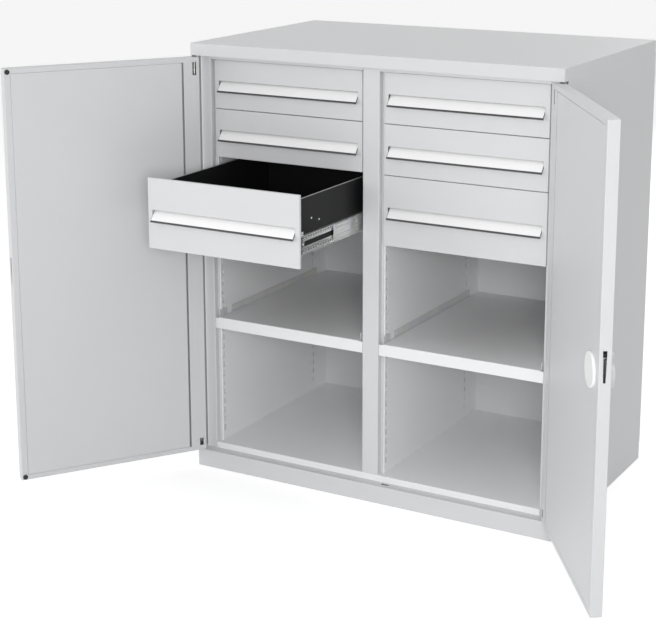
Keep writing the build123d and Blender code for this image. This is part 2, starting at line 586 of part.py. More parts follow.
# The round cover on the right door's inner panel, over the lock
with BuildPart() as lock_cover:
    door_disc(RIGHT, (LOCK_CENTRE, LOCK_HEIGHT), COVER_DIAMETER / 2,
              (DOOR_THICKNESS, DOOR_THICKNESS + COVER_HEIGHT))
    fillet(lock_cover.edges().filter_by(GeomType.CIRCLE), radius=EDGE_RADIUS)
finish(lock_cover, "lock_cover")

# The rosette outside, a shallow dish that the knob turns in
with BuildPart() as lock_rosette:
    centre = (LOCK_CENTRE, LOCK_HEIGHT)
    dish = KNOB_DIAMETER / 2 + 2 * AXIAL_GAP
    door_disc(RIGHT, centre, ROSETTE_DIAMETER / 2, (0, -ROSETTE_RIM))
    fillet(lock_rosette.edges().filter_by(GeomType.CIRCLE), radius=ROSETTE_ROUND)
    door_disc(RIGHT, centre, dish, (-ROSETTE_FLOOR, -ROSETTE_RIM), Mode.SUBTRACT)
    door_disc(RIGHT, centre, SPINDLE_DIAMETER / 2 + RUNNING_FIT, (0, -ROSETTE_RIM), Mode.SUBTRACT)
finish(lock_rosette, "lock_rosette")

# The turning knob: a disc cut away on both sides of an upright grip, with a bore for the lock cylinder
KNOB_BACK = -ROSETTE_FLOOR - AXIAL_GAP
KNOB_FRONT = KNOB_BACK - KNOB_HEIGHT
with BuildPart() as lock_knob:
    centre = (LOCK_CENTRE, LOCK_HEIGHT)
    beyond = ROSETTE_DIAMETER / 2
    door_disc(RIGHT, centre, KNOB_DIAMETER / 2, (KNOB_BACK, KNOB_FRONT))
    fillet(lock_knob.edges().filter_by(GeomType.CIRCLE), radius=EDGE_RADIUS)
    for near, far in ((KNOB_GRIP / 2, beyond), (-beyond, -KNOB_GRIP / 2)):
        door_slab(RIGHT, (LOCK_CENTRE + near, LOCK_CENTRE + far), (KNOB_FRONT, KNOB_FRONT + KNOB_DISH),
                  (LOCK_HEIGHT - beyond, LOCK_HEIGHT + beyond), Mode.SUBTRACT)
    door_disc(RIGHT, centre, CYLINDER_DIAMETER / 2 + RUNNING_FIT,
              (KNOB_FRONT, KNOB_FRONT + CYLINDER_DEPTH + AXIAL_GAP), Mode.SUBTRACT)
    door_disc(RIGHT, centre, SPINDLE_DIAMETER / 2, (KNOB_BACK, KNOB_BACK - SPINDLE_GRIP), Mode.SUBTRACT)
finish(lock_knob, "lock_knob")

# The cam inside: its spindle passes the skin into the knob, and its two pins drive the rods
with BuildPart() as lock_cam:
    door_disc(RIGHT, (LOCK_CENTRE, LOCK_HEIGHT), CAM_DIAMETER / 2, (CAM_DEPTH, CAM_DEPTH + CAM_THICKNESS))
    door_disc(RIGHT, (LOCK_CENTRE, LOCK_HEIGHT), SPINDLE_DIAMETER / 2, (KNOB_BACK - SPINDLE_GRIP, CAM_DEPTH))
    for centre in (UPPER_PIN, LOWER_PIN):
        door_disc(RIGHT, centre, CAM_PIN_DIAMETER / 2, (CAM_DEPTH + CAM_THICKNESS, ROD_LAYER + ROD_THICKNESS))
finish(lock_cam, "lock_cam")

# The lock cylinder in the knob, with its key slot
with BuildPart() as key_cylinder:
    centre = (LOCK_CENTRE, LOCK_HEIGHT)
    door_disc(RIGHT, centre, CYLINDER_DIAMETER / 2, (KNOB_FRONT, KNOB_FRONT + CYLINDER_DEPTH))
    door_slab(RIGHT, (LOCK_CENTRE - KEY_SLOT_WIDTH / 2, LOCK_CENTRE + KEY_SLOT_WIDTH / 2),
              (KNOB_FRONT, KNOB_FRONT + CYLINDER_DEPTH / 2),
              (LOCK_HEIGHT - KEY_SLOT_LENGTH / 2, LOCK_HEIGHT + KEY_SLOT_LENGTH / 2), Mode.SUBTRACT)
finish(key_cylinder, "key_cylinder")

# The lock rods: a flat bar with a head whose level slot takes one pin of the cam
PIN_SLOT_HALF = CAM_PIN_DIAMETER / 2 + PIN_SLOT_GAP
SLOT_SPREAD = CAM_PIN_THROW * (1 - cos(CAM_START))
HEAD_FOOT = UPPER_PIN[1] - PIN_SLOT_HALF - HEAD_WALL


def pin_slot(start, end, level):
    """The level slot in a rod's head, between the two places that the cam pin reaches."""
    door_slab(RIGHT, (start - PIN_SLOT_HALF, end + PIN_SLOT_HALF), ROD_DEEP,
              (level - PIN_SLOT_HALF, level + PIN_SLOT_HALF), Mode.SUBTRACT)


with BuildPart() as upper_lock_rod:
    start = UPPER_PIN[0]
    end = start + SLOT_SPREAD
    head_x = (start - PIN_SLOT_HALF - HEAD_WALL / 2, max(end + PIN_SLOT_HALF + HEAD_WALL / 2, ROD_X[1]))
    door_slab(RIGHT, head_x, ROD_DEEP, (HEAD_FOOT, UPPER_PIN[1] + PIN_SLOT_HALF + HEAD_WALL))
    door_slab(RIGHT, ROD_X, ROD_DEEP, (UPPER_PIN[1] + PIN_SLOT_HALF, DOOR_TOP - ROD_SETBACK))
    pin_slot(start, end, UPPER_PIN[1])
finish(upper_lock_rod, "upper_lock_rod")

with BuildPart() as lower_lock_rod:
    start = LOWER_PIN[0] - SLOT_SPREAD
    end = LOWER_PIN[0]
    head_x = (start - PIN_SLOT_HALF - HEAD_WALL / 2, end + PIN_SLOT_HALF + HEAD_WALL / 2)
    bridge_top = HEAD_FOOT - AXIAL_GAP
    bridge = (bridge_top - 2 * HEAD_WALL, bridge_top)
    door_slab(RIGHT, head_x, ROD_DEEP, (bridge[0], LOWER_PIN[1] + PIN_SLOT_HALF + HEAD_WALL))
    door_slab(RIGHT, (head_x[0], ROD_X[1]), ROD_DEEP, bridge)
    door_slab(RIGHT, ROD_X, ROD_DEEP, (DOOR_BOTTOM + ROD_SETBACK, bridge[1]))
    pin_slot(start, end, LOWER_PIN[1])
finish(lower_lock_rod, "lower_lock_rod")

# The latch hook: a flat arm that hangs from its stud
with BuildPart() as latch_hook:
    with BuildSketch(face_plane(RIGHT, LATCH_LAYER)) as arm:
        with Locations(LATCH_PIVOT):
            Circle(LATCH_WIDTH / 2)
        with Locations((LATCH_PIVOT[0], LATCH_PIVOT[1] - LATCH_LENGTH / 2)):
            Rectangle(LATCH_WIDTH, LATCH_LENGTH)
        with Locations(LATCH_PIVOT):
            Circle(STUD_RADIUS + RUNNING_FIT, mode=Mode.SUBTRACT)
    extrude(arm.sketch, amount=RIGHT * LATCH_THICKNESS)
finish(latch_hook, "latch_hook")


# The drawers. Each column has two shallow ones over a deep one.
def slide_y(travel):
    """Where a slide member that has moved out by travel starts and ends."""
    start = DRAWER_FRONT_Y + SLIDE_SETBACK - travel
    return (start, start + SLIDE_LENGTH)


def slide_member(side, foot, web, flange, inset, travel):
    """One channel of each of a drawer's two slides, placed by distances from the wall and from the
    outermost channel's edges."""
    for wall, into in ((LINER_X, -1), (PARTITION_X, 1)):
        def at(distance):
            return side * (wall + into * distance)

        slab((at(web[0]), at(web[1])), slide_y(travel), (foot + inset, foot + SLIDE_HEIGHT - inset))
        for low in (foot + inset, foot + SLIDE_HEIGHT - inset - SLIDE_SHEET):
            slab((at(flange[0]), at(flange[1])), slide_y(travel), (low, low + SLIDE_SHEET))


def drawer_names():
    """Each drawer's name, side, and the bottom and top of its front, from the top of each column down."""
    rows = []
    for side in (LEFT, RIGHT):
        top = DRAWER_TOP
        for level, height in (("upper", SMALL_FRONT), ("middle", SMALL_FRONT), ("lower", LARGE_FRONT)):
            rows.append((f"{level}_{SIDE_NAMES[side]}", side, top - height, top))
            top -= height + FRONT_GAP
    return rows


def handle_profile(face_y, grip_top):
    """The handle's outline, seen from the right: a roof behind the front, a slope down and out, a hook."""
    tip_y = face_y - HANDLE_PROUD
    tip_z = grip_top - HANDLE_DROP
    sheet_y = face_y + FRONT_SHEET
    back_y = face_y + HANDLE_RECESS
    roof_top = grip_top + HANDLE_SHEET
    hook_y = tip_y + HANDLE_THICK + HANDLE_HOOK
    hook_z = tip_z - HANDLE_SHEET / 2
    Polyline((sheet_y, roof_top), (back_y + HANDLE_THICK, roof_top), (back_y + HANDLE_THICK, grip_top),
             (tip_y + HANDLE_THICK, tip_z), (hook_y, tip_z), (hook_y, hook_z),
             (tip_y, hook_z), (tip_y, tip_z), (back_y, grip_top), (sheet_y, grip_top), close=True)


RAIL_WEB = (0.0, SLIDE_SHEET)
RAIL_FLANGE = (0.0, SLIDE_WEB - SLIDE_FIT)
MIDDLE_WEB = (SLIDE_WEB, SLIDE_WEB + SLIDE_SHEET)
MIDDLE_FLANGE = (SLIDE_SHEET + SLIDE_FIT, SLIDE_SPACE - SLIDE_SHEET - SLIDE_FIT)
RUNNER_WEB = (SLIDE_SPACE - SLIDE_SHEET, SLIDE_SPACE)
RUNNER_FLANGE = (SLIDE_SPACE - SLIDE_FLANGE, SLIDE_SPACE)
MIDDLE_INSET = SLIDE_SHEET + SLIDE_FIT
RAIL_INSET = 2 * MIDDLE_INSET

# The cabinet halves of the slides, on the walls and the partition
with BuildPart() as cabinet_slide_rails:
    for name, side, bottom, top in drawer_names():
        slide_member(side, bottom + BOX_FOOT_RISE + SLIDE_RISE, RAIL_WEB, RAIL_FLANGE, RAIL_INSET, 0.0)
finish(cabinet_slide_rails, "cabinet_slide_rails")

for name, side, bottom, top in drawer_names():
    travel = PULLED_OUT if name == "lower_left" else 0.0
    centre_x = side * COLUMN_X
    front_x = (centre_x - FRONT_WIDTH / 2, centre_x + FRONT_WIDTH / 2)
    box_x = (centre_x - BOX_WIDTH / 2, centre_x + BOX_WIDTH / 2)
    face_y = DRAWER_FRONT_Y - travel
    back_y = DRAWER_BACK_Y - travel
    box_z = (bottom + BOX_FOOT_RISE, top - BOX_TOP_DROP)
    slide_foot = box_z[0] + SLIDE_RISE
    grip_top = (bottom + top) / 2 - HANDLE_LOW + HANDLE_DROP / 2
    handle_x = (front_x[0] + HANDLE_INSET, front_x[1] - HANDLE_INSET)
    cut_foot = grip_top - (HANDLE_RECESS + HANDLE_THICK) / HANDLE_SLOPE - HANDLE_CUT_GAP
    tab_top = cut_foot - HANDLE_CLEARANCE

    # The front, a shallow pan with a slot for the handle
    with BuildPart() as drawer_front:
        slab(front_x, (face_y, back_y), (bottom, top))
        for x in ((front_x[0], front_x[0] + FRONT_SHEET), (front_x[1] - FRONT_SHEET, front_x[1])):
            slab(x, (face_y, face_y + FRONT_RETURN), (bottom, top))
        for z in ((bottom, bottom + FRONT_SHEET), (top - FRONT_SHEET, top)):
            slab(front_x, (face_y, face_y + FRONT_RETURN), z)
        slab((handle_x[0] - HANDLE_CUT_GAP, handle_x[1] + HANDLE_CUT_GAP), (face_y, back_y),
             (cut_foot, grip_top), Mode.SUBTRACT)
    finish(drawer_front, f"{name}_drawer_front")

    # The handle, one extrusion as long as its slot
    with BuildPart() as drawer_handle:
        with BuildSketch(Plane.YZ.offset(handle_x[0])) as outline:
            with BuildLine():
                handle_profile(face_y, grip_top)
            make_face()
        extrude(outline.sketch, amount=handle_x[1] - handle_x[0])
    finish(drawer_handle, f"{name}_drawer_handle")

    # The box, a sheet tray whose sides reach forward below the handle to the drawer front
    with BuildPart() as drawer_box:
        box_y = (face_y + BEHIND_HANDLE, back_y + BOX_LENGTH)
        slab(box_x, box_y, box_z)
        slab(box_x, (back_y, box_y[0]), (box_z[0], tab_top))
        slab((box_x[0] + BOX_SHEET, box_x[1] - BOX_SHEET), (back_y, box_y[0]),
             (box_z[0] + BOX_SHEET, tab_top), Mode.SUBTRACT)
        slab((box_x[0] + BOX_HEM, box_x[1] - BOX_HEM), (box_y[0] + BOX_SHEET, box_y[1] - BOX_HEM),
             (box_z[0] + BOX_SHEET, box_z[1]), Mode.SUBTRACT)
        slab((box_x[0] + BOX_SHEET, box_x[1] - BOX_SHEET), (box_y[0] + BOX_SHEET, box_y[1] - BOX_SHEET),
             (box_z[0] + BOX_SHEET, box_z[1] - BOX_HEM_DEPTH), Mode.SUBTRACT)
    finish(drawer_box, f"{name}_drawer_box")

    # The drawer halves of the slides, each with a window along its track and a tab behind the front
    with BuildPart() as drawer_runners:
        slide_member(side, slide_foot, RUNNER_WEB, RUNNER_FLANGE, 0.0, travel)
        slide_front = slide_y(travel)[0]
        middle_z = slide_foot + SLIDE_HEIGHT / 2
        for edge, outward in ((box_x[0], -1), (box_x[1], 1)):
            web = (edge, edge + outward * SLIDE_SHEET)
            slab(web, (slide_front + TRACK_START, slide_front + TRACK_START + TRACK_LENGTH),
                 (middle_z - TRACK_HEIGHT / 2, middle_z + TRACK_HEIGHT / 2), Mode.SUBTRACT)
            slab(web, (slide_front, slide_front + TAB_WIDTH),
                 (slide_foot, slide_foot + SLIDE_HEIGHT + TAB_HEIGHT))
            slab(web, (back_y, slide_front), (slide_foot, slide_foot + SLIDE_HEIGHT / 2))
    finish(drawer_runners, f"{name}_drawer_runners")

    # The middle members, which travel half as far as the drawer
    with BuildPart() as middle_slides:
        slide_member(side, slide_foot, MIDDLE_WEB, MIDDLE_FLANGE, MIDDLE_INSET, travel / 2)
    finish(middle_slides, f"{name}_middle_slides")
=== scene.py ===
# %% [markdown]
# # A steel storage cabinet
# The cabinet is folded sheet steel with a light grey powder coat: two doors, six drawers on ball
# slides and two shelves. Its exact shape comes ready made as a fixed frame, so this lesson gives
# each part its finish, and builds the pieces that need a finer shape than plain plates: the drawers'
# handles, fronts and boxes, the slotted walls, the shelves, and what is fixed to the slides.

import bmesh
import bpy
import numpy as np
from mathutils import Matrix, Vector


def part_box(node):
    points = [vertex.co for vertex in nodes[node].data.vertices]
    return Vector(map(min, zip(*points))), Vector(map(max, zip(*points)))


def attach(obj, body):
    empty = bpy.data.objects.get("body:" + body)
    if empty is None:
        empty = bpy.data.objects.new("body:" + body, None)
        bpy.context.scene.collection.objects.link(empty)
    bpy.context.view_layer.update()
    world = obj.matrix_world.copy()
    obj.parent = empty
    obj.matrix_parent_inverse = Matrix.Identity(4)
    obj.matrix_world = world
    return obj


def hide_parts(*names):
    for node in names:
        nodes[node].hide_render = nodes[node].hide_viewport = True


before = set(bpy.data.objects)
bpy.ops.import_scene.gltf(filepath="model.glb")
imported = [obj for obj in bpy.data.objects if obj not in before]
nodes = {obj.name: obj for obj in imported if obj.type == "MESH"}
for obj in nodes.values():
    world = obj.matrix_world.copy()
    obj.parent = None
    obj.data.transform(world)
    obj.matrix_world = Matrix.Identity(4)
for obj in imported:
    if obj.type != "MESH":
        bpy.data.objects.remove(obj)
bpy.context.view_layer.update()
MM = 0.001

# %% [markdown]
# ## The camera
# The photograph was taken from the right and above, with a long lens. Its place and turns were
# found from the corners of the cabinet. The picture is 656 by 638 pixels, and the lens is given
# for a sensor 36 mm wide. A small shift of the lens keeps the upright edges nearly parallel.

# %% Camera
SENSOR = 36.0
PICTURE_WIDTH = 656
FOCAL_PIXELS = 1615.0
CAMERA_PLACE = np.array([1.8035, -3.6402, 1.5949])
YAW, PITCH, ROLL = -0.51987, 0.22304, -0.0022
LENS_SHIFT = -0.16

level_right = np.array([np.cos(YAW), -np.sin(YAW), 0.0])
level_ahead = np.array([np.sin(YAW), np.cos(YAW), 0.0])
upright = np.array([0.0, 0.0, 1.0])
ahead = level_ahead * np.cos(PITCH) - upright * np.sin(PITCH)
tilted_up = upright * np.cos(PITCH) + level_ahead * np.sin(PITCH)
right = level_right * np.cos(ROLL) + tilted_up * np.sin(ROLL)
up = tilted_up * np.cos(ROLL) - level_right * np.sin(ROLL)

lens = bpy.data.cameras.new("photographer")
lens.sensor_width = SENSOR
lens.lens = FOCAL_PIXELS / PICTURE_WIDTH * SENSOR
lens.shift_y = LENS_SHIFT
lens.clip_start = 0.1
lens.clip_end = 60.0
camera = bpy.data.objects.new("photographer", lens)
pose = np.eye(4)
pose[:3, 0] = right
pose[:3, 1] = up
pose[:3, 2] = -ahead
pose[:3, 3] = CAMERA_PLACE
camera.matrix_world = pose.T.tolist()
bpy.context.scene.collection.objects.link(camera)
bpy.context.scene.camera = camera
bpy.context.scene.view_settings.view_transform = "Standard"
print("camera at", CAMERA_PLACE, "lens", round(lens.lens, 1), "mm")

# %% [markdown]
# ## Shader maths
# A finish is easier to read as a sum than as a web of nodes. A small class holds one socket of a
# material and turns + - * into Math nodes, and one method makes every other node.

# %% A socket that can be added and multiplied
class Wire:
    """One output socket of a recipe. Sums and products of wires and numbers become Math nodes."""

    def __init__(self, recipe, socket):
        self.recipe = recipe
        self.socket = socket

    def maths(self, operation, first, second):
        """A Math node on two wires or numbers."""
        return self.recipe.node("Math", {"operation": operation}, {0: first, 1: second})

    def __add__(self, other):
        return self.maths("ADD", self, other)

    __radd__ = __add__

    def __sub__(self, other):
        return self.maths("SUBTRACT", self, other)

    def __rsub__(self, other):
        return self.maths("SUBTRACT", other, self)

    def __mul__(self, other):
        return self.maths("MULTIPLY", self, other)

    __rmul__ = __mul__


print("wires can be added and multiplied")

# %% A material written as a recipe
BUMP_DEPTH = 0.05


class Recipe:
    def __init__(self, owner):
        self.owner = owner
        owner.use_nodes = True
        self.tree = owner.node_tree
        self.tree.nodes.clear()

    def node(self, kind, settings, values, output=0):
        """Makes a node, sets it, fills its sockets with numbers or links, and returns one output."""
        made = self.tree.nodes.new("ShaderNode" + kind)
        stops = settings.pop("stops", None)
        for name, value in settings.items():
            setattr(made, name, value)
        if stops:
            ramp = made.color_ramp.elements
            while len(ramp) < len(stops):
                ramp.new(0.5)
            for element, (position, shade) in zip(ramp, stops):
                element.position = position
                element.color = (shade, shade, shade, 1.0)
        for name, value in values.items():
            if isinstance(value, Wire):
                self.tree.links.new(value.socket, made.inputs[name])
            else:
                made.inputs[name].default_value = value
        return Wire(self, made.outputs[output])

    def place(self):
        """The piece's own coordinates, in metres."""
        return self.node("TexCoord", {}, {}, "Object")

    def stretched(self, scales):
        """The piece's own coordinates, stretched by three scales."""
        return self.node("Mapping", {}, {"Vector": self.place(), "Scale": scales})

    def noise(self, scale, detail=2.0, where=None):
        """Soft random values between 0 and 1, with about scale lumps to the metre."""
        return self.node("TexNoise", {}, {"Vector": where or self.place(), "Scale": scale,
                                          "Detail": detail})

    def ramp(self, value, stops):
        """Turns a value into another one along a straight-line curve of (position, shade) stops."""
        return self.node("ValToRGB", {"stops": stops}, {"Fac": value})

    def mix(self, factor, first, second):
        """A colour between two others."""
        return self.node("Mix", {"data_type": "RGBA"}, {0: factor, 6: first, 7: second}, 2)

    def scaled(self, colour, tone):
        """A colour times a number that varies over the surface."""
        return self.node("VectorMath", {"operation": "SCALE"}, {0: colour, "Scale": tone})

    def soft_edges(self, radius):
        """The surface's direction, turned smoothly where an edge is nearer than the radius."""
        return self.node("Bevel", {"samples": 4}, {"Radius": radius})

    def finish(self, fixed, colour, gloss, strength, height, edges=None):
        """Ends the recipe in a Principled shader, with a bump over softly rounded edges."""
        values = {"Height": height, "Strength": strength, "Distance": BUMP_DEPTH}
        if edges is not None:
            values["Normal"] = edges
        bump = self.node("Bump", {}, values)
        varying = {"Base Color": colour, "Roughness": gloss, "Normal": bump}
        return self.end(self.node("BsdfPrincipled", {}, {**fixed, **varying}))

    def end(self, shader, kind="OutputMaterial"):
        """Joins a shader to the output, and gives back the finished material or world."""
        output = self.tree.nodes.new("ShaderNode" + kind)
        self.tree.links.new(shader.socket, output.inputs["Surface"])
        return self.owner


def material_recipe(name):
    """An empty recipe for a new material."""
    return Recipe(bpy.data.materials.new(name))


print("recipes are ready")

# %% [markdown]
# ## Powder coat
# Powder coat is baked dust: it melts into a satin skin with a faint orange peel, about a millimetre
# from lump to lump. Large folded panels are never quite flat either, so a second, very slow wave
# bends the reflections. The coat is shinier where a fold is tight, and painted lighter there as a
# painted highlight; a Bevel node finds those folds and rounds them, as a folded sheet has no knife
# edges.

# %% Powder coat
EDGE_RADIUS = 1.1 * MM
CLOUD_SCALE = 9.0
SPECK_SCALE = 420.0
PEEL_SCALE = 700.0
PEEL_HEIGHT = 0.0006
WAVE_SCALE = 5.0
WAVE_HEIGHT = 0.02
COAT_BUMP = 0.22
FLAT_SHARE = 0.985
FOLD_HIGHLIGHT_SHARE = 1.06


def powder_coat(name, colour, roughness, contrast=0.02, shine=0.5):
    """A satin coat: slow and fine noise vary the colour, and folds are painted a little lighter, a
    painted highlight.
    """
    recipe = material_recipe(name)
    edges = recipe.soft_edges(EDGE_RADIUS)
    flat = recipe.node("NewGeometry", {}, {}, "Normal")
    along = recipe.node("VectorMath", {"operation": "DOT_PRODUCT"}, {0: edges, 1: flat}, "Value")
    fold = recipe.ramp(1.0 - along, [(0.0, 0.0), (0.2, 1.0)])
    cloud = recipe.noise(CLOUD_SCALE, 4.0)
    speck = recipe.noise(SPECK_SCALE, 3.0)
    tone = 1.0 + (cloud - 0.5) * contrast * 2.0 + (speck - 0.5) * contrast
    darker = tuple(part * FLAT_SHARE for part in colour) + (1.0,)
    # Folds are painted lighter than the flat sheet: a painted highlight.
    fold_highlight_colour = tuple(min(1.0, part * FOLD_HIGHLIGHT_SHARE) for part in colour) + (1.0,)
    peel = recipe.noise(PEEL_SCALE, 2.0)
    wave = recipe.noise(WAVE_SCALE, 1.0)
    gloss = roughness + (cloud - 0.5) * 0.08 + (speck - 0.5) * 0.05 - fold * 0.06
    return recipe.finish({"IOR": 1.5, "Specular IOR Level": shine},
                         recipe.scaled(recipe.mix(fold, darker, fold_highlight_colour), tone), gloss,
                         COAT_BUMP, peel * PEEL_HEIGHT + wave * WAVE_HEIGHT, edges)


LIGHT_GREY = (0.672, 0.677, 0.687)
# The bays' walls, shelves and base panel have the same coat as the outside, painted lighter as painted
# light for the shade inside the bays.
INSIDE_GREY_PAINTED_LIGHTER = (0.870, 0.873, 0.880)
coat = powder_coat("light_grey_coat", LIGHT_GREY, 0.44)
inside_coat_painted_lighter = powder_coat("light_grey_inside", INSIDE_GREY_PAINTED_LIGHTER, 0.48)
print("coats", coat.name, inside_coat_painted_lighter.name)

# %% [markdown]
# ## Drawer black
# The drawer boxes have the same kind of coat in near black. Black shows dust and handling sooner
# than grey, so its contrast is higher and its gloss lower. The rolled rim is painted a lighter grey,
# a painted highlight for the thin bright line that its curve reflects.

# %% Drawer black
BOX_BLACK = (0.012, 0.012, 0.0125)
RIM_HIGHLIGHT_GREY = (0.30, 0.30, 0.305)
box_coat = powder_coat("drawer_black_coat", BOX_BLACK, 0.5, 0.06, 0.22)
rim_highlight_coat = powder_coat("drawer_rim_coat", RIM_HIGHLIGHT_GREY, 0.4, 0.06)
print("coats", box_coat.name, rim_highlight_coat.name)

# %% [markdown]
# ## Zinc plate
# The slides, rods and rails are rolled strip with bright zinc on it. Rolling leaves fine lines
# along the strip, and the clear passivation on zinc drifts between a bluish and a straw tint.

# %% Zinc plate
ALONG_SCALE = 3.0
ACROSS_SCALE = 900.0
BLUISH = (0.66, 0.68, 0.72, 1.0)
STRAW = (0.74, 0.73, 0.69, 1.0)


def zinc_plate(name, along, roughness=0.3, metal=1.0):
    """Bright zinc: noise drawn out along one axis for rolling lines, and a slow drift of tint. Less
    metal makes it milky, as a thick dull passivation does."""
    recipe = material_recipe(name)
    scales = tuple(ALONG_SCALE if axis == along else ACROSS_SCALE for axis in "XYZ")
    lines = recipe.noise(1.0, 3.0, recipe.stretched(scales))
    cloud = recipe.noise(26.0, 3.0)
    tint = recipe.mix(recipe.ramp(cloud, [(0.35, 0.0), (0.65, 1.0)]), BLUISH, STRAW)
    gloss = roughness + (lines - 0.5) * 0.18 + (cloud - 0.5) * 0.12
    return recipe.finish({"Metallic": metal}, recipe.scaled(tint, lines * 0.16 + 0.92), gloss,
                         0.15, lines * 0.0002, recipe.soft_edges(EDGE_RADIUS / 2))


zinc_long = zinc_plate("zinc_rolled_lengthwise", "Y", 0.24, 0.7)
zinc_milky = zinc_plate("zinc_milky", "Y", 0.5, 0.15)
zinc_tall = zinc_plate("zinc_rolled_upright", "Z")
zinc_dull = zinc_plate("zinc_dull_cage", "Y", 0.42)
print("zinc", zinc_long.name, zinc_milky.name, zinc_tall.name, zinc_dull.name)

# %% [markdown]
# ## Aluminium, steel and plastics
# The handles are drawn aluminium with hairlines along them. Pins and cylinders are turned steel,
# whose tool marks run round them. The plastics are moulded: smooth, with a slight mottle.

# %% Drawn aluminium
HAIRLINES = (4.0, 1400.0, 1400.0)


def drawn_aluminium(name, colour, roughness):
    """Satin anodised metal with hairlines along X."""
    recipe = material_recipe(name)
    lines = recipe.noise(1.0, 4.0, recipe.stretched(HAIRLINES))
    cloud = recipe.noise(30.0, 2.0)
    gloss = roughness + (lines - 0.5) * 0.16
    return recipe.finish({"Metallic": 0.9}, recipe.scaled(colour, lines * 0.07 + cloud * 0.03 + 0.94),
                         gloss, 0.12, lines * 0.0002)


# Near black aluminium, whose colour also paints the shade in the gaps above and below the strip.
shade_dark_aluminium = drawn_aluminium("dark_anodised_profile", (0.10, 0.10, 0.103), 0.36)
print("metal", shade_dark_aluminium.name)

# %% Turned steel
TOOL_RINGS = (60.0, 60.0, 2600.0)


def turned_steel(name, colour, roughness):
    """Plated steel with fine rings across its height."""
    recipe = material_recipe(name)
    rings = recipe.noise(1.0, 2.0, recipe.stretched(TOOL_RINGS))
    cloud = recipe.noise(140.0, 3.0)
    gloss = roughness + (cloud - 0.5) * 0.14
    return recipe.finish({"Metallic": 1.0}, recipe.scaled(colour, rings * 0.14 + cloud * 0.08 + 0.88),
                         gloss, 0.1, rings * 0.0001)


steel = turned_steel("turned_steel", (0.72, 0.72, 0.71), 0.26)
knob_metal = turned_steel("knob_nickel", (0.50, 0.50, 0.50), 0.32)
print("metals", steel.name, knob_metal.name)


# %% Moulded plastic and rubber
def moulded(name, colour, roughness, mottle=0.04, grain=900.0):
    """Moulded plastic: a fine spark-eroded grain and a slight mottle."""
    recipe = material_recipe(name)
    cloud = recipe.noise(60.0, 3.0)
    fine = recipe.noise(grain, 2.0)
    tone = 1.0 + (cloud - 0.5) * mottle * 2.0 + (fine - 0.5) * mottle
    gloss = roughness + (cloud - 0.5) * 0.1
    return recipe.finish({"IOR": 1.48}, recipe.scaled(colour, tone), gloss,
                         0.2, fine * 0.0004, recipe.soft_edges(EDGE_RADIUS / 2))


white_plastic = moulded("white_cover_plastic", (0.92, 0.92, 0.92), 0.35)
strip_white = moulded("blank_strip_white", (0.96, 0.96, 0.96), 0.42, 0.015, 1500.0)
black_plastic = moulded("black_plastic", (0.03, 0.03, 0.031), 0.5, 0.1)
buffer_rubber = moulded("buffer_rubber", (0.022, 0.022, 0.022), 0.72, 0.2, 500.0)
print("plastics: white, black and rubber")

# %% [markdown]
# ## Which part has which finish
# Parts that keep their shape only get a finish. The names of the parts say what they are, so a
# short list of name endings is enough.

# %% Finishes of the ready parts
FINISHES = [
    (("_drawer_box",), box_coat),
    # base panel: the inside coat, painted lighter for the shade in the bays
    (("base_panel",), inside_coat_painted_lighter),
    (("_drawer_handle",), shade_dark_aluminium),
    (("_drawer_runners", "_middle_slides", "_slide_rails"), zinc_long),
    (("shelf_supports",), zinc_milky),
    (("_lock_rod", "latch_hook", "lock_case"), zinc_tall),
    (("_hinge_pins", "key_cylinder", "lock_cam"), steel),
    (("hinge_bushes",), black_plastic),
    (("_door_buffers",), buffer_rubber),
    (("lock_cover",), white_plastic),
    (("lock_rosette", "lock_knob"), knob_metal),
]


def finish_of(name):
    """The finish for a part, by the end of its name; sheet steel is powder coated."""
    for endings, material in FINISHES:
        if name.endswith(endings):
            return material
    return coat


for name, part in nodes.items():
    part.data.materials.clear()
    part.data.materials.append(finish_of(name))
print("finished", len(nodes), "parts")

# %% [markdown]
# ## Sheet metal as a surface
# A folded sheet is a grid of points, and a profile is a flat outline carried along a straight line.
# Neither has knife edges, so outlines and folds get a small arc at each corner. A Bevel modifier
# then softens only the sharp edges where a profile was cut off.

# %% Meshes and objects
def grid_mesh(name, points, keep=None):
    """A mesh from a grid of points, shaped rows by columns by 3, with one face for each cell, or for
    each cell that keep marks."""
    rows, columns = points.shape[:2]
    index = np.arange(rows * columns).reshape(rows, columns)
    cells = np.stack([index[:-1, :-1], index[:-1, 1:], index[1:, 1:], index[1:, :-1]], -1)
    faces = cells.reshape(-1, 4) if keep is None else cells[keep]
    mesh = bpy.data.meshes.new(name)
    mesh.from_pydata(points.reshape(-1, 3).tolist(), [], faces.tolist())
    mesh.update()
    return mesh


def add_object(name, mesh, material):
    """Puts a mesh into the scene as an object at the origin, with one material."""
    made = bpy.data.objects.new(name, mesh)
    bpy.context.scene.collection.objects.link(made)
    made.data.materials.append(material)
    return made


print("grids and objects are ready")


# %% Outlines with rounded corners
ARC_STEPS = 5


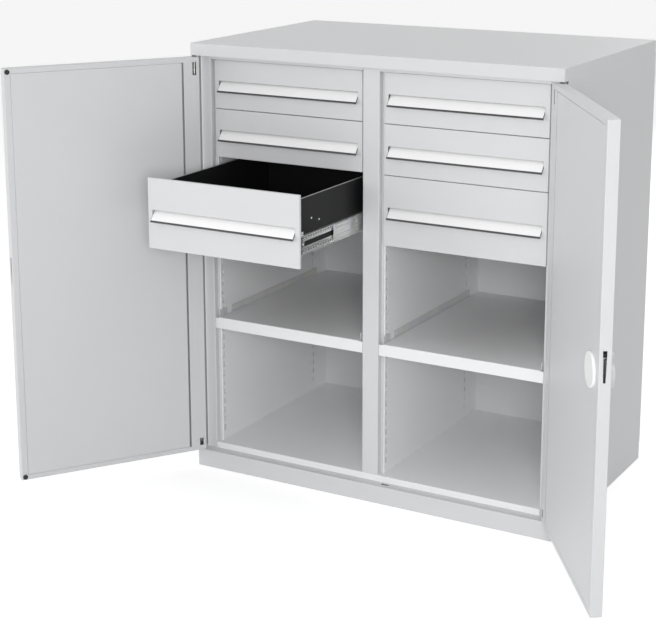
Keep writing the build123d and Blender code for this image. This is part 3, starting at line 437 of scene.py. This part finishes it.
def rounded(corners, radii):
    """A closed outline whose corners are arcs. Each arc's centre lies on the corner's bisector, its
    radius over the sine of half the angle away, and its points turn evenly from edge to edge."""
    corners = np.asarray(corners, float)
    radii = np.broadcast_to(np.asarray(radii, float), len(corners))[:, None]
    back = np.roll(corners, 1, 0) - corners
    ahead = np.roll(corners, -1, 0) - corners
    back = back / np.linalg.norm(back, axis=1, keepdims=True)
    ahead = ahead / np.linalg.norm(ahead, axis=1, keepdims=True)
    half = np.arccos(np.clip((back * ahead).sum(1, keepdims=True), -1.0, 1.0)) / 2
    middle = (back + ahead) / np.linalg.norm(back + ahead, axis=1, keepdims=True)
    centre = corners + middle * radii / np.sin(half)
    first = corners + back * radii / np.tan(half) - centre
    last = corners + ahead * radii / np.tan(half) - centre
    turn = (np.pi - 2 * half)[:, None]
    share = np.linspace(0.0, 1.0, ARC_STEPS)[None, :, None]
    from_first = np.sin((1 - share) * turn) / np.sin(turn)
    from_last = np.sin(share * turn) / np.sin(turn)
    arc = from_first * first[:, None] + from_last * last[:, None]
    return (centre[:, None] + arc).reshape(-1, 2)


def closed_mesh(name, rings, caps=True):
    """A tube of quads from rings of points, shaped rings by points by 3, closed round each ring. The
    first and last ring are closed by a flat face, or joined to each other."""
    count, size = rings.shape[:2]
    index = np.arange(count * size).reshape(count, size)
    if not caps:
        index = np.concatenate([index, index[:1]])
    along = np.roll(index, -1, 1)
    faces = np.stack([index[:-1], along[:-1], along[1:], index[1:]], -1).reshape(-1, 4).tolist()
    if caps:
        faces += [index[0, ::-1].tolist(), index[-1].tolist()]
    mesh = bpy.data.meshes.new(name)
    mesh.from_pydata(rings.reshape(-1, 3).tolist(), [], faces)
    mesh.update()
    return mesh


def point_outwards(mesh):
    """Turns every face of a closed mesh outwards."""
    shell = bmesh.new()
    shell.from_mesh(mesh)
    bmesh.ops.recalc_face_normals(shell, faces=shell.faces)
    shell.to_mesh(mesh)
    shell.free()


CUT_EDGE = 0.4 * MM
SHARP_TURN = np.radians(50.0)


def soften(piece, width=CUT_EDGE):
    """Rounds a piece's sharp edges; the arcs of its outline turn too little to be touched."""
    bevel = piece.modifiers.new("soft_edges", "BEVEL")
    bevel.width = width
    bevel.segments = 2
    bevel.limit_method = "ANGLE"
    bevel.angle_limit = SHARP_TURN
    return piece


def carried_mesh(name, outline, axis, start, end):
    """An outline carried along one axis: its two columns are the two other axes, in order."""
    others = [number for number in range(3) if number != axis]
    rings = np.zeros((2, len(outline), 3))
    rings[:, :, others[0]] = outline[:, 0]
    rings[:, :, others[1]] = outline[:, 1]
    rings[0, :, axis] = start
    rings[1, :, axis] = end
    mesh = closed_mesh(name, rings)
    point_outwards(mesh)
    return mesh


def carried(name, outline, axis, start, end, material):
    """The carried outline as an object."""
    return add_object(name, carried_mesh(name, outline, axis, start, end), material)


print("outlines and carried shapes are ready")

# %% [markdown]
# ## The drawer handles
# Each handle is one aluminium profile as wide as its drawer. Its face slopes out to a lip for the
# fingertips, and a white blank strip slides in behind two rails. The profile is painted near black,
# so its rails and cut ends paint the shadow lines round the strip. The profile is an outline in Y and Z,
# carried along X.

# %% Handles
SHEET = 1.2 * MM
HANDLE_SHEET = 2.0 * MM
LIP_REACH = 11.0 * MM
ROOF_DEPTH = 10.5 * MM
LIP_HOOK = 2.5 * MM
RAIL_LOW = 4.4 * MM
RAIL_HIGH = 2.2 * MM
STRIP_SINK = 0.6 * MM
STRIP_END = 1.2 * MM
STRIP_RADIUS = 0.1 * MM
PROFILE_RADII = np.array([0.3, 1.0, 0.5, 0.5, 0.3, 0.4, 0.6, 0.3, 0.15, 0.15, 0.15, 0.15, 0.4, 0.3]) * MM


def handle(name, low, high, body):
    """The profile with a shallow channel in its sloping face, and the strip that fills the channel.
    The outline goes from the roof, which ends behind the front's sheet, down the back of the slope to
    the hooked lip, and up the face; PROFILE_RADII has a radius for each of its corners."""
    grip_z = high[2] - HANDLE_SHEET
    tip_z = low[2] + HANDLE_SHEET / 2
    tip_y = low[1]
    run = LIP_REACH + ROOF_DEPTH
    thick = HANDLE_SHEET * np.hypot(run, grip_z - tip_z) / (grip_z - tip_z)
    back_y = high[1] - thick
    face_y = tip_y + LIP_REACH
    up_slope = np.array([back_y - tip_y, grip_z - tip_z])
    length = np.hypot(*up_slope)
    up_slope = up_slope / length
    inward = np.array([up_slope[1], -up_slope[0]])
    tip = np.array([tip_y, tip_z])
    foot = tip + up_slope * RAIL_LOW
    head = tip + up_slope * (length - RAIL_HIGH)
    roof_y = face_y + SHEET
    hook_y = tip_y + thick + LIP_HOOK
    sunk_foot = foot + inward * STRIP_SINK
    sunk_head = head + inward * STRIP_SINK
    outline = rounded([(roof_y, high[2]), (high[1], high[2]), (high[1], grip_z), (tip_y + thick, tip_z),
                       (hook_y, tip_z), (hook_y, low[2]), (tip_y, low[2]), tip,
                       foot, sunk_foot, sunk_head, head, (back_y, grip_z), (roof_y, grip_z)],
                      PROFILE_RADII)
    profile = soften(carried(name + "_profile", outline, 0, low[0], high[0], shade_dark_aluminium))
    outline = rounded([foot, head, sunk_head, sunk_foot], STRIP_RADIUS)
    strip = carried(name + "_strip", outline, 0, low[0] + STRIP_END, high[0] - STRIP_END, strip_white)
    for piece in (profile, strip):
        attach(piece, body)
    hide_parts(name)


handles = [name for name in nodes if name.endswith("_drawer_handle")]
for name in handles:
    handle(name, *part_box(name), name.replace("_handle", ""))
print("handles", len(handles))

# %% [markdown]
# ## The drawer fronts
# A front is a shallow pan with a long slot for its handle. The surface starts at the back edge of
# the turned-in rim, rolls over the bend, crosses the face, dives through the slot and comes back
# behind the sheet. Every ring is a rounded rectangle with as many points, so the rings join.

# %% Drawer fronts
BEND = 1.6 * MM
SLOT_FOOT_DROP = 16.98 * MM
SLOT_END_GAP = 0.3 * MM
SLOT_RADIUS = 0.6 * MM
LEAST_RADIUS = 0.2 * MM
QUARTER = np.linspace(0.0, np.pi / 2, 5)


def rectangle_rings(low, high, insets, levels, radius, axis):
    """Rounded rectangles of one size less an inset each, at one level each along an axis."""
    others = [number for number in range(3) if number != axis]
    rings = []
    for inset, level in zip(insets, levels):
        x0, x1 = low[others[0]] + inset, high[others[0]] - inset
        z0, z1 = low[others[1]] + inset, high[others[1]] - inset
        corner = rounded([(x0, z0), (x1, z0), (x1, z1), (x0, z1)], max(radius - inset, LEAST_RADIUS))
        ring = np.zeros((len(corner), 3))
        ring[:, others] = corner
        ring[:, axis] = level
        rings.append(ring)
    return np.array(rings)


def drawer_front(name):
    """Rings from the rim's back edge over the bend to the slot, and back behind the sheet."""
    low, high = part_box(name + "_front")
    grip_low, grip_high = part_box(name + "_handle")
    face, rim = low[1], high[1]
    inwards = BEND * (1 - np.cos(QUARTER))
    forwards = face + BEND * (1 - np.sin(QUARTER))
    front = rectangle_rings(low, high, [0.0, *inwards], [rim, *forwards], BEND, 1)
    grip_top = grip_high[2] - HANDLE_SHEET
    slot_low = (grip_low[0] - SLOT_END_GAP, 0.0, grip_top - SLOT_FOOT_DROP)
    slot_high = (grip_high[0] + SLOT_END_GAP, 0.0, grip_top)
    edge = SHEET / 2
    widening = edge * (1 - np.cos(QUARTER)[::-1])
    depths = face + edge * (1 - np.sin(QUARTER)[::-1])
    slot = rectangle_rings(slot_low, slot_high, [*(-widening), 0.0], [*depths, face + SHEET],
                           SLOT_RADIUS, 1)
    behind = rectangle_rings(low, high, [BEND, SHEET, SHEET], [face + SHEET, face + BEND, rim], SHEET, 1)
    mesh = closed_mesh(name + "_folded_front", np.concatenate([front, slot, behind]), caps=False)
    point_outwards(mesh)
    piece = add_object(name + "_folded_front", mesh, coat)
    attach(piece, name)
    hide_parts(name + "_front")


drawers = [name.replace("_handle", "") for name in handles]
for name in drawers:
    drawer_front(name)
print("drawer fronts", len(drawers))

# %% [markdown]
# ## The drawer boxes
# The box is a deep black tray. Its upper edge is rolled inwards into a rounded hem, painted a
# lighter grey as a thin bright highlight, and under the handle a shallow channel reaches to the front.

# %% Drawer boxes
HEM_WIDTH = 4.0 * MM
HEM_DROP = 2.4 * MM
FLOOR_BEND = 2.0 * MM
BOX_RADIUS = 2.5 * MM
BEHIND_HANDLE = 13.84 * MM
TAB_GAP = 0.8 * MM
TAB_RADII = np.array([1.5, 1.5, 0.3, 0.3, 0.4, 0.4, 0.3, 0.3]) * MM
HALF_TURN = np.linspace(0.0, np.pi, 9)


def drawer_box(name):
    """Rings from the edge of the underside, up the outside, over the hem and down to the floor, and a
    channel from the tray to the front."""
    low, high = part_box(name + "_box")
    front_low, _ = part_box(name + "_front")
    main_low = (low[0], front_low[1] + BEHIND_HANDLE, low[2])
    under = FLOOR_BEND * (1 - np.sin(QUARTER))
    rise = low[2] + FLOOR_BEND * (1 - np.cos(QUARTER))
    over = HEM_WIDTH / 2 * (1 - np.cos(HALF_TURN))
    lift = high[2] + HEM_DROP / 2 * (np.sin(HALF_TURN) - 1)
    hem_foot = high[2] - HEM_DROP
    insets = [*under, *over, HEM_WIDTH, SHEET, SHEET, SHEET + FLOOR_BEND]
    levels = [*rise, *lift, hem_foot, hem_foot, low[2] + SHEET + FLOOR_BEND, low[2] + SHEET]
    rings = rectangle_rings(main_low, high, insets, levels, BOX_RADIUS, 2)
    mesh = closed_mesh(name + "_tray", rings)
    point_outwards(mesh)
    tray = add_object(name + "_tray", mesh, box_coat)
    # The hem's faces take the lighter rim grey: a painted highlight.
    mesh.materials.append(rim_highlight_coat)
    centres = np.array([face.center[2] for face in mesh.polygons])
    mesh.polygons.foreach_set("material_index", (centres > high[2] - HEM_DROP / 2).astype(np.int32))
    tab_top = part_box(name + "_handle")[1][2] - HANDLE_SHEET - SLOT_FOOT_DROP - TAB_GAP
    x0, x1 = low[0], high[0]
    foot, floor_top = low[2], low[2] + SHEET
    outline = rounded([(x0, foot), (x1, foot), (x1, tab_top), (x1 - SHEET, tab_top),
                       (x1 - SHEET, floor_top), (x0 + SHEET, floor_top), (x0 + SHEET, tab_top),
                       (x0, tab_top)], TAB_RADII)
    channel = carried(name + "_front_channel", outline, 1, low[1], main_low[1], box_coat)
    for piece in (tray, channel):
        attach(piece, name)
    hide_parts(name + "_box")


for name in drawers:
    drawer_box(name)
print("drawer boxes", len(drawers))

# %% [markdown]
# ## The slotted walls
# Each bay wall is one sheet, folded along its height into the front post, with two rows of slots.
# Such a sheet is a grid: one direction follows the folds seen from above, the other goes up. The
# grid lines lie on the edges of the slots, so a slot is simply a face that is left out. A Solidify
# modifier gives the sheet its thickness behind the side that is seen. A channel closes each row of
# slots from behind, so that nobody looks into the hollow wall.

# %% Folds and thickness
NO_RADIUS = 1e-6


def folded(corners, radii):
    """An open path with an arc at each inner corner. It is made as a closed outline, whose first and
    last corner are then put back as they were."""
    corners = np.asarray(corners, float)
    closed = rounded(corners, [NO_RADIUS, *radii, NO_RADIUS])
    return np.concatenate([corners[:1], closed[ARC_STEPS:-ARC_STEPS], corners[-1:]])


def upright_grid(path, heights):
    """A path seen from above, repeated at every height."""
    grid = np.zeros((len(heights), len(path), 3))
    grid[:, :, :2] = path[None]
    grid[:, :, 2] = np.asarray(heights)[:, None]
    return grid


def thicken(piece, thickness=SHEET):
    """Gives a sheet its thickness behind its front side."""
    solid = piece.modifiers.new("sheet_thickness", "SOLIDIFY")
    solid.thickness = thickness
    solid.offset = -1.0
    solid.use_even_offset = True
    return piece


print("sheet", round(SHEET / MM, 1), "mm thick")

# %% Slotted walls
SLOT_HALF_WIDTH = 4.0 * MM
SLOT_HALF_HEIGHT = 7.0 * MM
SLOT_STEP = 25.0 * MM
SLOT_FIRST = 94.8 * MM
SLOT_COUNT = 39
SLOT_ROWS = (-254.0 * MM, 210.0 * MM)
BEND_OUT = 2.2 * MM
BEND_IN = 0.9 * MM
POST_WIDTH = 31.0 * MM
POST_STEP = 8.0 * MM
POST_DEPTH = 17.0 * MM
CHANNEL_DEPTH = 20.0 * MM
MIRRORED = np.array([-1.0, 1.0])


def slotted_wall(name, path):
    """The path goes round seen from above, with the seen side on its right, and rises from the part's
    foot to its top. Cells between the edges of a slot row and of a slot's height are left out."""
    low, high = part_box(name)
    slot_heights = SLOT_FIRST + SLOT_STEP * np.arange(SLOT_COUNT)
    slot_edges = (slot_heights[:, None] + [-SLOT_HALF_HEIGHT, SLOT_HALF_HEIGHT]).ravel()
    heights = [low[2], *slot_edges, high[2]]
    middle = (path[1:, 1] + path[:-1, 1]) / 2
    length = np.abs(path[1:, 1] - path[:-1, 1])
    in_row = np.isclose(length, 2 * SLOT_HALF_WIDTH, atol=0.01 * MM)
    in_row &= np.isclose(middle[:, None], SLOT_ROWS, atol=0.1 * MM).any(1)
    in_slot = np.arange(len(heights) - 1) % 2 == 1
    keep = ~(in_slot[:, None] & in_row[None, :])
    mesh = grid_mesh(name + "_folded", upright_grid(path, heights), keep)
    # The wall is painted the lighter inside grey for the shade in the bays; its post keeps the outer
    # coat.
    piece = thicken(add_object(name + "_folded", mesh, inside_coat_painted_lighter))
    mesh.materials.append(coat)
    centres = np.array([face.center[1] for face in mesh.polygons])
    on_post = centres < path[:, 1].min() + POST_DEPTH
    mesh.polygons.foreach_set("material_index", on_post.astype(np.int32))
    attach(piece, "cabinet")
    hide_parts(name)
    return int((~keep).sum())


def row_lines(x, end):
    """Points along a straight wall at x, from the first slot's far edge to the end, that mark the
    edges of both slot rows."""
    marks = [row + half for row in SLOT_ROWS for half in (-SLOT_HALF_WIDTH, SLOT_HALF_WIDTH)][1:]
    return np.stack([np.full(len(marks) + 1, x), [*marks, end]], 1)


print("slots in a row", SLOT_COUNT)

# %% The two outer walls
wall_low, wall_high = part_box("right_inner_wall")
inner_x, outer_x = wall_low[0], wall_high[0]
post_y, back_y = wall_low[1], wall_high[1]
post_x = inner_x + POST_STEP
step_y = post_y + POST_DEPTH
first_slot_y = SLOT_ROWS[0] - SLOT_HALF_WIDTH
channel_y = post_y + CHANNEL_DEPTH
post_end = post_x + POST_WIDTH
post_path = folded([(outer_x, channel_y), (post_end, channel_y), (post_end, post_y), (post_x, post_y),
                    (post_x, step_y), (inner_x, step_y), (inner_x, first_slot_y)],
                   [BEND_IN, BEND_OUT, BEND_OUT, BEND_IN, BEND_OUT])
wall_path = np.concatenate([post_path, row_lines(inner_x, back_y)])
slots = slotted_wall("right_inner_wall", wall_path[::-1])
slots += slotted_wall("left_inner_wall", wall_path * MIRRORED)
print("slots in the outer walls", slots)

# %% The middle wall
PARTITION_STEP = 9.0 * MM
partition_x, partition_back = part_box("partition")[1][:2]
half_post = partition_x - PARTITION_STEP
right_half = np.array([(partition_x, first_slot_y), (partition_x, step_y), (half_post, step_y),
                       (half_post, post_y)])
partition_post = folded(np.concatenate([right_half, right_half[::-1] * MIRRORED]),
                        [BEND_OUT, BEND_IN, BEND_OUT, BEND_OUT, BEND_IN, BEND_OUT])
partition_side = row_lines(partition_x, partition_back)
partition_path = np.concatenate([partition_side[::-1], partition_post, partition_side * MIRRORED])
print("slots in the middle wall", slotted_wall("partition", partition_path[::-1]))

# %% Channels behind the slots
BACKING_HALF = 6.8 * MM
BACKING_DEPTH = 6.5 * MM
BACKING_BEND = 0.8 * MM


def slot_channel(x, outward, row):
    """A shallow U seen from above, open to the slots, as high as the row."""
    back = x + outward * BACKING_DEPTH
    lip = x + outward * SHEET
    corners = [(lip, row + BACKING_HALF), (back, row + BACKING_HALF), (back, row - BACKING_HALF),
               (lip, row - BACKING_HALF)]
    path = folded(corners if outward > 0 else corners[::-1], [BACKING_BEND, BACKING_BEND])
    heights = [SLOT_FIRST - SLOT_STEP / 2, SLOT_FIRST + (SLOT_COUNT - 0.5) * SLOT_STEP]
    return grid_mesh("channel", upright_grid(path, heights))


def merged(name, meshes):
    """One mesh made of several."""
    whole = bmesh.new()
    for mesh in meshes:
        whole.from_mesh(mesh)
    mesh = bpy.data.meshes.new(name)
    whole.to_mesh(mesh)
    whole.free()
    return mesh


walls = ((inner_x, 1), (-inner_x, -1), (partition_x, -1), (-partition_x, 1))
channels = [slot_channel(x, outward, row) for x, outward in walls for row in SLOT_ROWS]
# The channels take the inside grey, painted lighter for the shade in the bays.
backing = thicken(add_object("slot_channels", merged("slot_channels", channels), inside_coat_painted_lighter))
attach(backing, "cabinet")
print("channels behind the slots", len(channels))

# %% [markdown]
# ## The ball slides
# Each drawer hangs on two telescopic slides. Pulled out, the drawer's own rail shows two rows of
# small windows with balls in them, a plain band with rivets between the rows, and a black catch at
# its front end. The next rail has two long beads rolled into it. The plain rails are there already,
# so these cells add what is pressed, riveted and clipped to them.

# %% Rows of balls in their cages
RAIL_HEIGHT = 45.0 * MM
RAIL_FRONT = 25.8 * MM
RAIL_SHEET = 1.2 * MM
CAGE_DEPTH = 2.6 * MM
CAGE_SHEET = 0.5 * MM
CAGE_HEIGHT = 6.4 * MM
CAGE_EDGE = 3.6 * MM
CAGE_LEAD = 2.0 * MM
CAGE_BORDER = 0.2
WINDOW = 7.5 * MM
WINDOW_STEP = 11.5 * MM
WINDOW_COUNT = 13
CAGE_START = 9.0 * MM
BALL_RADIUS = 1.2 * MM
SHADE_BAND_DEPTH = 1.3 * MM


def spots(x, along, height):
    """One point at each place along Y. The x or the height may be one number for all."""
    return np.stack(np.broadcast_arrays(x, along, height), 1)


def cage(x, front, foot):
    """A strip of cells along Y: every second column keeps only its upper and lower row."""
    marks = front + CAGE_START + WINDOW_STEP * np.arange(WINDOW_COUNT)
    edges = (marks[:, None] + [0.0, WINDOW]).ravel()
    along = np.array([front + CAGE_LEAD, *edges, marks[-1] + WINDOW_STEP])
    upright = foot + CAGE_HEIGHT * np.array([0.0, CAGE_BORDER, 1.0 - CAGE_BORDER, 1.0])
    grid = np.zeros((4, len(along), 3))
    grid[:, :, 0] = x
    grid[:, :, 1] = along[None]
    grid[:, :, 2] = upright[:, None]
    keep = ~((np.arange(3) == 1)[:, None] & (np.arange(len(along) - 1) % 2 == 1)[None])
    return grid_mesh("cage", grid, keep), spots(x, marks + WINDOW / 2, foot + CAGE_HEIGHT / 2)


print("balls in a cage", WINDOW_COUNT)

# %% Balls and round heads
BALL_TURN = np.linspace(0.0, 2 * np.pi, 12, endpoint=False)
BALL_RISE = np.radians([-78.0, -50.0, -20.0, 20.0, 50.0, 78.0])


def domes(name, centres, radius, squash, body):
    """Steel balls, or low heads where squash is under one: rings at a few latitudes round the X axis
    make one, and it is moved to every centre."""
    ball = np.zeros((len(BALL_RISE), len(BALL_TURN), 3))
    ball[:, :, 0] = np.sin(BALL_RISE)[:, None] * squash
    ball[:, :, 1] = np.cos(BALL_RISE)[:, None] * np.cos(BALL_TURN)
    ball[:, :, 2] = np.cos(BALL_RISE)[:, None] * np.sin(BALL_TURN)
    first = closed_mesh(name, ball * radius)
    point_outwards(first)
    faces = [list(face.vertices) for face in first.polygons]
    count = len(first.vertices)
    points = ball.reshape(1, -1, 3) * radius + np.concatenate(centres)[:, None]
    every = [[corner + start for corner in face] for start in range(0, points[..., 0].size, count)
             for face in faces]
    mesh = bpy.data.meshes.new(name)
    mesh.from_pydata(points.reshape(-1, 3).tolist(), [], every)
    mesh.polygons.foreach_set("use_smooth", np.ones(len(every), bool))
    mesh.update()
    piece = add_object(name, mesh, steel)
    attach(piece, body)


print("points on a ball", BALL_RISE.size * BALL_TURN.size)

# %% Catches, rivets and screws
CATCH_REACH = 7.5 * MM
CATCH_LENGTH = 9.0 * MM
CATCH_GAP = 0.5 * MM
CATCH_RADIUS = 0.6 * MM
CATCH_EDGE = 0.3 * MM
CATCH_CORNERS = np.array([(1.0, 3.0), (0.0, 3.0), (0.0, 13.0), (0.4, 13.0), (0.4, 18.0), (0.0, 18.0),
                          (0.0, 42.0), (1.0, 42.0), (1.0, 30.0), (0.6, 30.0), (0.6, 24.0), (1.0, 24.0)])
RIVET_SQUASH = 0.4
RIVET_RADIUS = 2.6 * MM
RIVET_PLACES = np.array([12.5, 196.0, 330.0, 460.0]) * MM
SCREW_SQUASH = 0.45
SCREW_RADIUS = 2.8 * MM
SCREW_PLACES = np.array([79.0, 114.0]) * MM
SCREW_SHARES = np.array([0.375, 0.26])


def catch_part(edge, outward, front, foot):
    """The plastic catch: seen from the side, a block in front of the rail with a notch in its front
    and one in its back. A corner is a share of its length and a height in millimetres."""
    along = front - CATCH_GAP - CATCH_LENGTH * CATCH_CORNERS[:, 0]
    outline = rounded(np.stack([along, foot + CATCH_CORNERS[:, 1] * MM], 1), CATCH_RADIUS)
    x = edge + outward * np.array([RAIL_SHEET, CATCH_REACH])
    return carried_mesh("catch", outline, 0, x.min(), x.max())


def lining(edge, outward, front, level):
    """A black band behind a cage, as a thin block along Y, that paints the shade in the cage's windows.
    """
    x = edge + outward * np.array([SHADE_BAND_DEPTH, SHADE_BAND_DEPTH + CAGE_SHEET])
    start = front + CAGE_LEAD
    end = front + CAGE_START + WINDOW_STEP * WINDOW_COUNT
    top = level + CAGE_HEIGHT
    outline = np.array([(start, level), (end, level), (end, top), (start, top)])
    return carried_mesh("lining", outline, 0, x.min(), x.max())


def dress_slides(name):
    """The cages, balls, catch, rivets and screws on both of a drawer's rails, and a black band of
    painted shade behind each cage.
    """
    low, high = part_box(name + "_box")
    rail_low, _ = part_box(name + "_runners")
    foot, front = rail_low[2], rail_low[1] + RAIL_FRONT
    rail_top = foot + RAIL_HEIGHT
    cages, balls, rivets, screws, plastics_and_shade_bands = [], [], [], [], []
    for edge, outward in ((low[0], -1), (high[0], 1)):
        for level in (foot + CAGE_EDGE, rail_top - CAGE_EDGE - CAGE_HEIGHT):
            mesh, centres = cage(edge + outward * CAGE_DEPTH, front, level)
            if outward < 0:
                mesh.flip_normals()
            cages.append(mesh)
            balls.append(centres)
            # A black band behind the cage paints the shade seen through its windows.
            plastics_and_shade_bands.append(lining(edge, outward, front, level))
        plastics_and_shade_bands.append(catch_part(edge, outward, front, foot))
        rivets.append(spots(edge + outward * RAIL_SHEET, front + RIVET_PLACES, foot + RAIL_HEIGHT / 2))
        heights = rail_top + SCREW_SHARES * (high[2] - rail_top)
        screws.append(spots(edge, rail_low[1] + SCREW_PLACES, heights))
    strips = add_object(name + "_ball_cages", merged(name + "_ball_cages", cages), zinc_dull)
    thicken(strips, CAGE_SHEET)
    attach(strips, name)
    domes(name + "_balls", balls, BALL_RADIUS, 1.0, name)
    domes(name + "_rivets", rivets, RIVET_RADIUS, RIVET_SQUASH, name)
    domes(name + "_screws", screws, SCREW_RADIUS, SCREW_SQUASH, name)
    catches_and_shade_bands = add_object(name + "_catches", merged(name + "_catches", plastics_and_shade_bands), black_plastic)
    soften(catches_and_shade_bands, CATCH_EDGE)
    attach(catches_and_shade_bands, name)


for name in drawers:
    dress_slides(name)
print("dressed slides", 2 * len(drawers))

# %% Beads along the middle rails
BEAD_RADIUS = 1.1 * MM
BEAD_SPREAD = 9.0 * MM
BEAD_END = 6.0 * MM
MIDDLE_WEB = 4.2 * MM


def bead(x, outward, level, start, end):
    """Half a round rod along Y, as a rolled bead: an arc from the lower to the upper side."""
    turn = HALF_TURN - np.pi / 2
    outline = np.stack([x + outward * np.cos(turn) * BEAD_RADIUS, level + np.sin(turn) * BEAD_RADIUS], 1)
    return carried_mesh("bead", outline, 1, start, end)


for name in drawers:
    low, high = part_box(name + "_box")
    rail_low, rail_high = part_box(name.replace("_drawer", "_middle_slides"))
    middle = (rail_low[2] + rail_high[2]) / 2
    start, end = rail_low[1] + BEAD_END, rail_high[1] - BEAD_END
    beads = []
    for edge, outward in ((low[0], -1), (high[0], 1)):
        web = edge + outward * (MIDDLE_WEB + SHEET)
        beads += [bead(web, outward, middle + lift, start, end) for lift in (-BEAD_SPREAD, BEAD_SPREAD)]
    piece = add_object(name.replace("_drawer", "_rail_beads"), merged("beads", beads), zinc_long)
    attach(piece, name.replace("_drawer", "_slides"))
print("beads on the middle rails", 4 * len(drawers))

# %% [markdown]
# ## The shelves
# A shelf is one sheet with a deep lip folded down in front and behind. The lip in front is as wide
# as the bay, while the plate stops short of the rails at its sides. So the width is a function of
# the place along the folded path, and changes where the bend begins.

# %% Shelves
SHELF_BEND = 2.0 * MM
SIDE_ROOM = 3.0 * MM
SHELF_COLUMNS = 9
BEND_SHARE = 0.9


def shelf(name):
    """A path in Y and Z from the back lip over the plate to the front lip, carried across the bay."""
    low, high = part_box(name)
    side = np.sign(low[0] + high[0])
    lip = np.sort(np.abs([low[0], high[0]]))
    plate = np.array([partition_x + SIDE_ROOM, inner_x - SIDE_ROOM])
    path = folded([(high[1], low[2]), (high[1], high[2]), (low[1], high[2]), (low[1], low[2])],
                  [SHELF_BEND, SHELF_BEND])
    below_top = path[:, 1] < high[2] - SHELF_BEND * BEND_SHARE
    lip_start = np.argmax(below_top & (path[:, 0] < low[1] + SHELF_BEND))
    on_lip = (np.arange(len(path)) >= lip_start)[:, None]
    ends = np.where(on_lip, lip, plate)[:, ::int(side)] * side
    share = np.linspace(0.0, 1.0, SHELF_COLUMNS)
    grid = np.zeros((len(path), SHELF_COLUMNS, 3))
    grid[:, :, 0] = ends[:, :1] + (ends[:, 1:] - ends[:, :1]) * share
    grid[:, :, 1:] = path[:, None]
    mesh = grid_mesh(name + "_folded", grid[:, ::-1])
    # The shelf is painted the lighter inside grey for the shade in the bays.
    piece = thicken(add_object(name + "_folded", mesh, inside_coat_painted_lighter))
    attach(piece, "cabinet")
    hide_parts(name)


shelves = ("left_shelf", "right_shelf")
for name in shelves:
    shelf(name)
print("shelves", len(shelves))

# %% [markdown]
# ## The studio
# The photograph's ground is pure white. The floor and the world give that white to the camera and
# to reflections only, while the light on the cabinet stays plain and soft. The floor lies a hair
# under the plinth, so that the two faces don't share a plane.

# %% Floor
FLOOR_SIZE = 60.0
FLOOR_CELLS = 8
FLOOR_DROP = 0.6 * MM
FLOOR_GLOW = 0.5
WHITE = (1.0, 1.0, 1.0, 1.0)
FLOOR_GREY = (0.8, 0.8, 0.8, 1.0)


def ray_kinds(recipe, *kinds):
    """One where the light's path is of one of the kinds, and nought elsewhere."""
    total = sum(recipe.node("LightPath", {}, {}, "Is " + kind + " Ray") for kind in kinds)
    return recipe.node("Math", {"operation": "MINIMUM"}, {0: total, 1: 1.0})


floor_steps = np.linspace(-FLOOR_SIZE / 2, FLOOR_SIZE / 2, FLOOR_CELLS)
floor_x, floor_y = np.meshgrid(floor_steps, floor_steps)
floor_points = np.stack([floor_x, floor_y, np.full_like(floor_x, -FLOOR_DROP)], -1)
floor_recipe = material_recipe("studio_floor")
glow = ray_kinds(floor_recipe, "Camera", "Glossy", "Transmission") * FLOOR_GLOW
floor_white = floor_recipe.end(floor_recipe.node("BsdfPrincipled", {}, {
    "Base Color": FLOOR_GREY, "Roughness": 0.9, "Specular IOR Level": 0.1,
    "Emission Color": WHITE, "Emission Strength": glow}))
floor = add_object("studio_floor", grid_mesh("studio_floor", floor_points), floor_white)
print("floor of", FLOOR_SIZE, "m")

# %% World
WORLD_LIGHT = 0.5
world_recipe = Recipe(bpy.data.worlds.new("studio_world"))
seen = ray_kinds(world_recipe, "Camera", "Glossy")
level = world_recipe.node("MapRange", {}, {"Value": seen, "To Min": WORLD_LIGHT, "To Max": 1.0})
sky = world_recipe.node("Background", {}, {"Color": WHITE, "Strength": level})
bpy.context.scene.world = world_recipe.end(sky, "OutputWorld")
print("world light", WORLD_LIGHT)

# %% Lamps
MIDDLE = np.array([0.0, 0.0, 0.6])


def soft_lamp(name, place, size, power):
    """A square area lamp at a place, turned so that its face looks at the cabinet's middle."""
    lamp = bpy.data.lights.new(name, "AREA")
    lamp.shape = "SQUARE"
    lamp.size = size
    lamp.energy = power
    holder = bpy.data.objects.new(name, lamp)
    back = np.array(place) - MIDDLE
    back /= np.linalg.norm(back)
    side = np.cross([0.0, 0.0, 1.0], back)
    side /= np.linalg.norm(side)
    turn = np.eye(4)
    turn[:3, 0] = side
    turn[:3, 1] = np.cross(back, side)
    turn[:3, 2] = back
    turn[:3, 3] = place
    holder.matrix_world = turn.T.tolist()
    bpy.context.scene.collection.objects.link(holder)


soft_lamp("key_from_front_right", (1.9, -3.3, 2.1), size=1.6, power=10.0)
soft_lamp("low_light_from_the_right", (1.7, -3.4, 1.4), size=1.0, power=44.0)
soft_lamp("fill_from_front_left", (-3.2, -2.6, 1.2), size=2.4, power=43.0)
soft_lamp("top_light", (0.0, 0.2, 4.2), size=3.0, power=12.0)
soft_lamp("light_from_behind", (0.6, 4.4, 2.4), size=3.0, power=43.0)
print("lamps", len(bpy.data.lights))

# %% The end
print("the scene is built")
